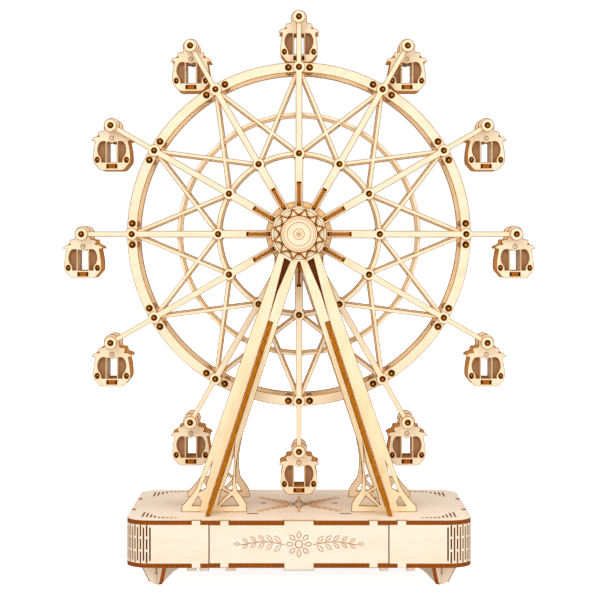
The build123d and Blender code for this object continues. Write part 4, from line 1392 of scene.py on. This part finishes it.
def idler_pins():
    low, high = box_mm("idler_pins")
    radius = (high.z - low.z) / 2
    bm = bmesh.new()
    for x in (low.x + radius, high.x - radius):
        join(bm, rod((x, low.y, low.z + radius), (x, high.y, low.z + radius), radius))
    finish_piece("idler pins", bm, "base", DOWEL, ["idler_pins"])


idler_pins()


def lathe(profile, centre, steps=48):
    """Solid turned about a line along y: (radius, y) from one end to the other."""
    bm = bmesh.new()
    corners = [bm.verts.new((centre.x + radius, y, centre.z)) for radius, y in profile]
    edges = [bm.edges.new(pair) for pair in zip(corners, corners[1:])]
    bmesh.ops.spin(
        bm, geom=corners + edges, cent=centre, axis=(0, 1, 0), dvec=(0, 0, 0), angle=2 * pi,
        steps=steps, use_merge=True,
    )
    bmesh.ops.remove_doubles(bm, verts=bm.verts, dist=0.001)
    bmesh.ops.recalc_face_normals(bm, faces=bm.faces[:])
    for face in bm.faces:
        face.smooth = True
    lay_grain(bm)
    return bm


def crank_knob():
    low, high = box_mm("crank_knob")
    centre = Vector(((low.x + high.x) / 2, 0, (low.z + high.z) / 2))
    radius, length = (high.z - low.z) / 2, high.y - low.y
    shape = (
        (0, 0), (0.6, 0), (0.62, 0.06), (0.72, 0.2), (0.88, 0.38), (0.98, 0.55), (1.0, 0.68), (0.97, 0.82),
        (0.88, 0.92), (0.7, 0.98), (0.4, 1.0), (0, 1.0),
    )
    bm = lathe([(r * radius, low.y + t * length) for r, t in shape], centre)
    finish_piece("crank knob", bm, "crank", (dowel_side,), ["crank_knob"])


crank_knob()


def pulley(node, body):
    """Grooved wheel for the belt."""
    low, high = box_mm(node)
    centre = Vector(((low.x + high.x) / 2, 0, (low.z + high.z) / 2))
    radius, width = (high.z - low.z) / 2, high.y - low.y
    floor = radius - 2.45
    shape = ((0, 0), (radius, 0), (radius, 0.28), (floor, 0.42))
    shape += ((floor, 0.58), (radius, 0.72), (radius, 1), (0, 1))
    bm = lathe([(r, low.y + t * width) for r, t in shape], centre)
    for face in bm.faces:
        face.smooth = False
    finish_piece(node.replace("_", "-"), bm, body, (dowel_side,), [node])
    return centre, radius - 1.5


low_centre, low_radius = pulley("drive_pulley", "pulley_drive")
high_centre, high_radius = pulley("hub_pulley", "wheel")


def drive_belt():
    """Round rubber belt over both pulleys."""
    low, high = box_mm("drive_belt")
    middle_y = (low.y + high.y) / 2
    run = Vector((high_centre.x - low_centre.x, high_centre.z - low_centre.z))
    lean = degrees(acos((low_radius - high_radius) / run.length))
    heading = degrees(atan2(run.y, run.x))
    route = list(arc((high_centre.x, high_centre.z), high_radius, heading - lean, heading + lean, 12))
    route += arc((low_centre.x, low_centre.z), low_radius, heading + lean, heading - lean + 360, 12)
    curve = bpy.data.curves.new("belt", "CURVE")
    curve.dimensions = "3D"
    spline = curve.splines.new("POLY")
    spline.points.add(len(route) - 1)
    for point, (x, z) in zip(spline.points, route):
        point.co = (x, middle_y, z, 1)
    spline.use_cyclic_u = True
    curve.bevel_depth = 0.7
    curve.bevel_resolution = 3
    holder = bpy.data.objects.new("belt", curve)
    bpy.context.scene.collection.objects.link(holder)
    bpy.context.view_layer.update()
    mesh = bpy.data.meshes.new_from_object(holder)
    bpy.data.objects.remove(holder)
    bm = bmesh.new()
    bm.from_mesh(mesh)
    bpy.data.meshes.remove(mesh)
    for face in bm.faces:
        face.material_index = 0
        face.smooth = True
    finish_piece("drive belt", bm, "base", (rubber,), ["drive_belt"])


drive_belt()

# ---------------------------------------------------------------- floor, light and camera


def floor_material():
    """White paper that keeps the shadow and shows plain white to the camera where it is lit."""
    material = bpy.data.materials.new("white floor")
    material.use_nodes = True
    tree = material.node_tree
    tree.nodes.clear()
    nodes = Nodes(tree)
    matt = nodes.add("ShaderNodeBsdfDiffuse", {"Color": (0.88, 0.88, 0.88, 1)})
    path = nodes.add("ShaderNodeLightPath")
    seen = nodes.maths("MULTIPLY", path.outputs["Is Camera Ray"], 0.85)
    glow = nodes.add("ShaderNodeEmission", {"Color": (1, 1, 1, 1), "Strength": seen})
    both = nodes.add("ShaderNodeAddShader", {0: matt.outputs[0], 1: glow.outputs[0]})
    out = nodes.add("ShaderNodeOutputMaterial")
    nodes.feed(out.inputs["Surface"], both.outputs[0])
    return material


def floor():
    bm = bmesh.new()
    bmesh.ops.create_grid(bm, x_segments=1, y_segments=1, size=40.0)
    mesh = bpy.data.meshes.new("floor")
    bm.to_mesh(mesh)
    bm.free()
    mesh.materials.append(floor_material())
    piece = bpy.data.objects.new("floor", mesh)
    bpy.context.scene.collection.objects.link(piece)


def world():
    """Even white surroundings, plain white to the camera."""
    sky = bpy.data.worlds.new("studio")
    bpy.context.scene.world = sky
    sky.use_nodes = True
    tree = sky.node_tree
    tree.nodes.clear()
    nodes = Nodes(tree)
    path = nodes.add("ShaderNodeLightPath")
    seen = nodes.maths("MAXIMUM", path.outputs["Is Camera Ray"], path.outputs["Is Glossy Ray"])
    seen = nodes.maths("MAXIMUM", seen, path.outputs["Is Transmission Ray"])
    strength = nodes.spread(seen, 0, 1, 0.56, 1.0)
    glow = nodes.add("ShaderNodeBackground", {"Color": (1, 1, 1, 1), "Strength": strength})
    out = nodes.add("ShaderNodeOutputWorld")
    nodes.feed(out.inputs["Surface"], glow.outputs[0])


def lamp(name, place, target, size, power):
    light = bpy.data.lights.new(name, "AREA")
    light.shape = "DISK"
    light.size = size
    light.energy = power
    piece = bpy.data.objects.new(name, light)
    piece.location = place
    piece.rotation_euler = (Vector(target) - Vector(place)).to_track_quat("-Z", "Y").to_euler()
    bpy.context.scene.collection.objects.link(piece)


def camera():
    """Level view from the front, a little over a metre from the wheel, its horizon above the middle."""
    lens = bpy.data.cameras.new("camera")
    lens.lens = 104.1
    lens.sensor_width = 36.0
    lens.shift_x = 0.0017
    lens.shift_y = -0.1133
    lens.clip_start, lens.clip_end = 0.05, 100.0
    eye = bpy.data.objects.new("camera", lens)
    eye.location = (0.0, hub.y * MM - 1.046, 0.2028)
    eye.rotation_euler = (radians(90), 0, 0)
    bpy.context.scene.collection.objects.link(eye)
    bpy.context.scene.camera = eye


floor()
world()
lamp("key", (-0.55, -1.35, 0.95), (0, 0, 0.17), 0.9, 8.1)
lamp("fill", (0.75, -1.2, 0.45), (0, 0, 0.17), 0.9, 4.2)
lamp("top", (0.1, -0.1, 1.5), (0, 0, 0.1), 1.0, 7.5)
camera()
bpy.context.scene.view_settings.view_transform = "Standard"
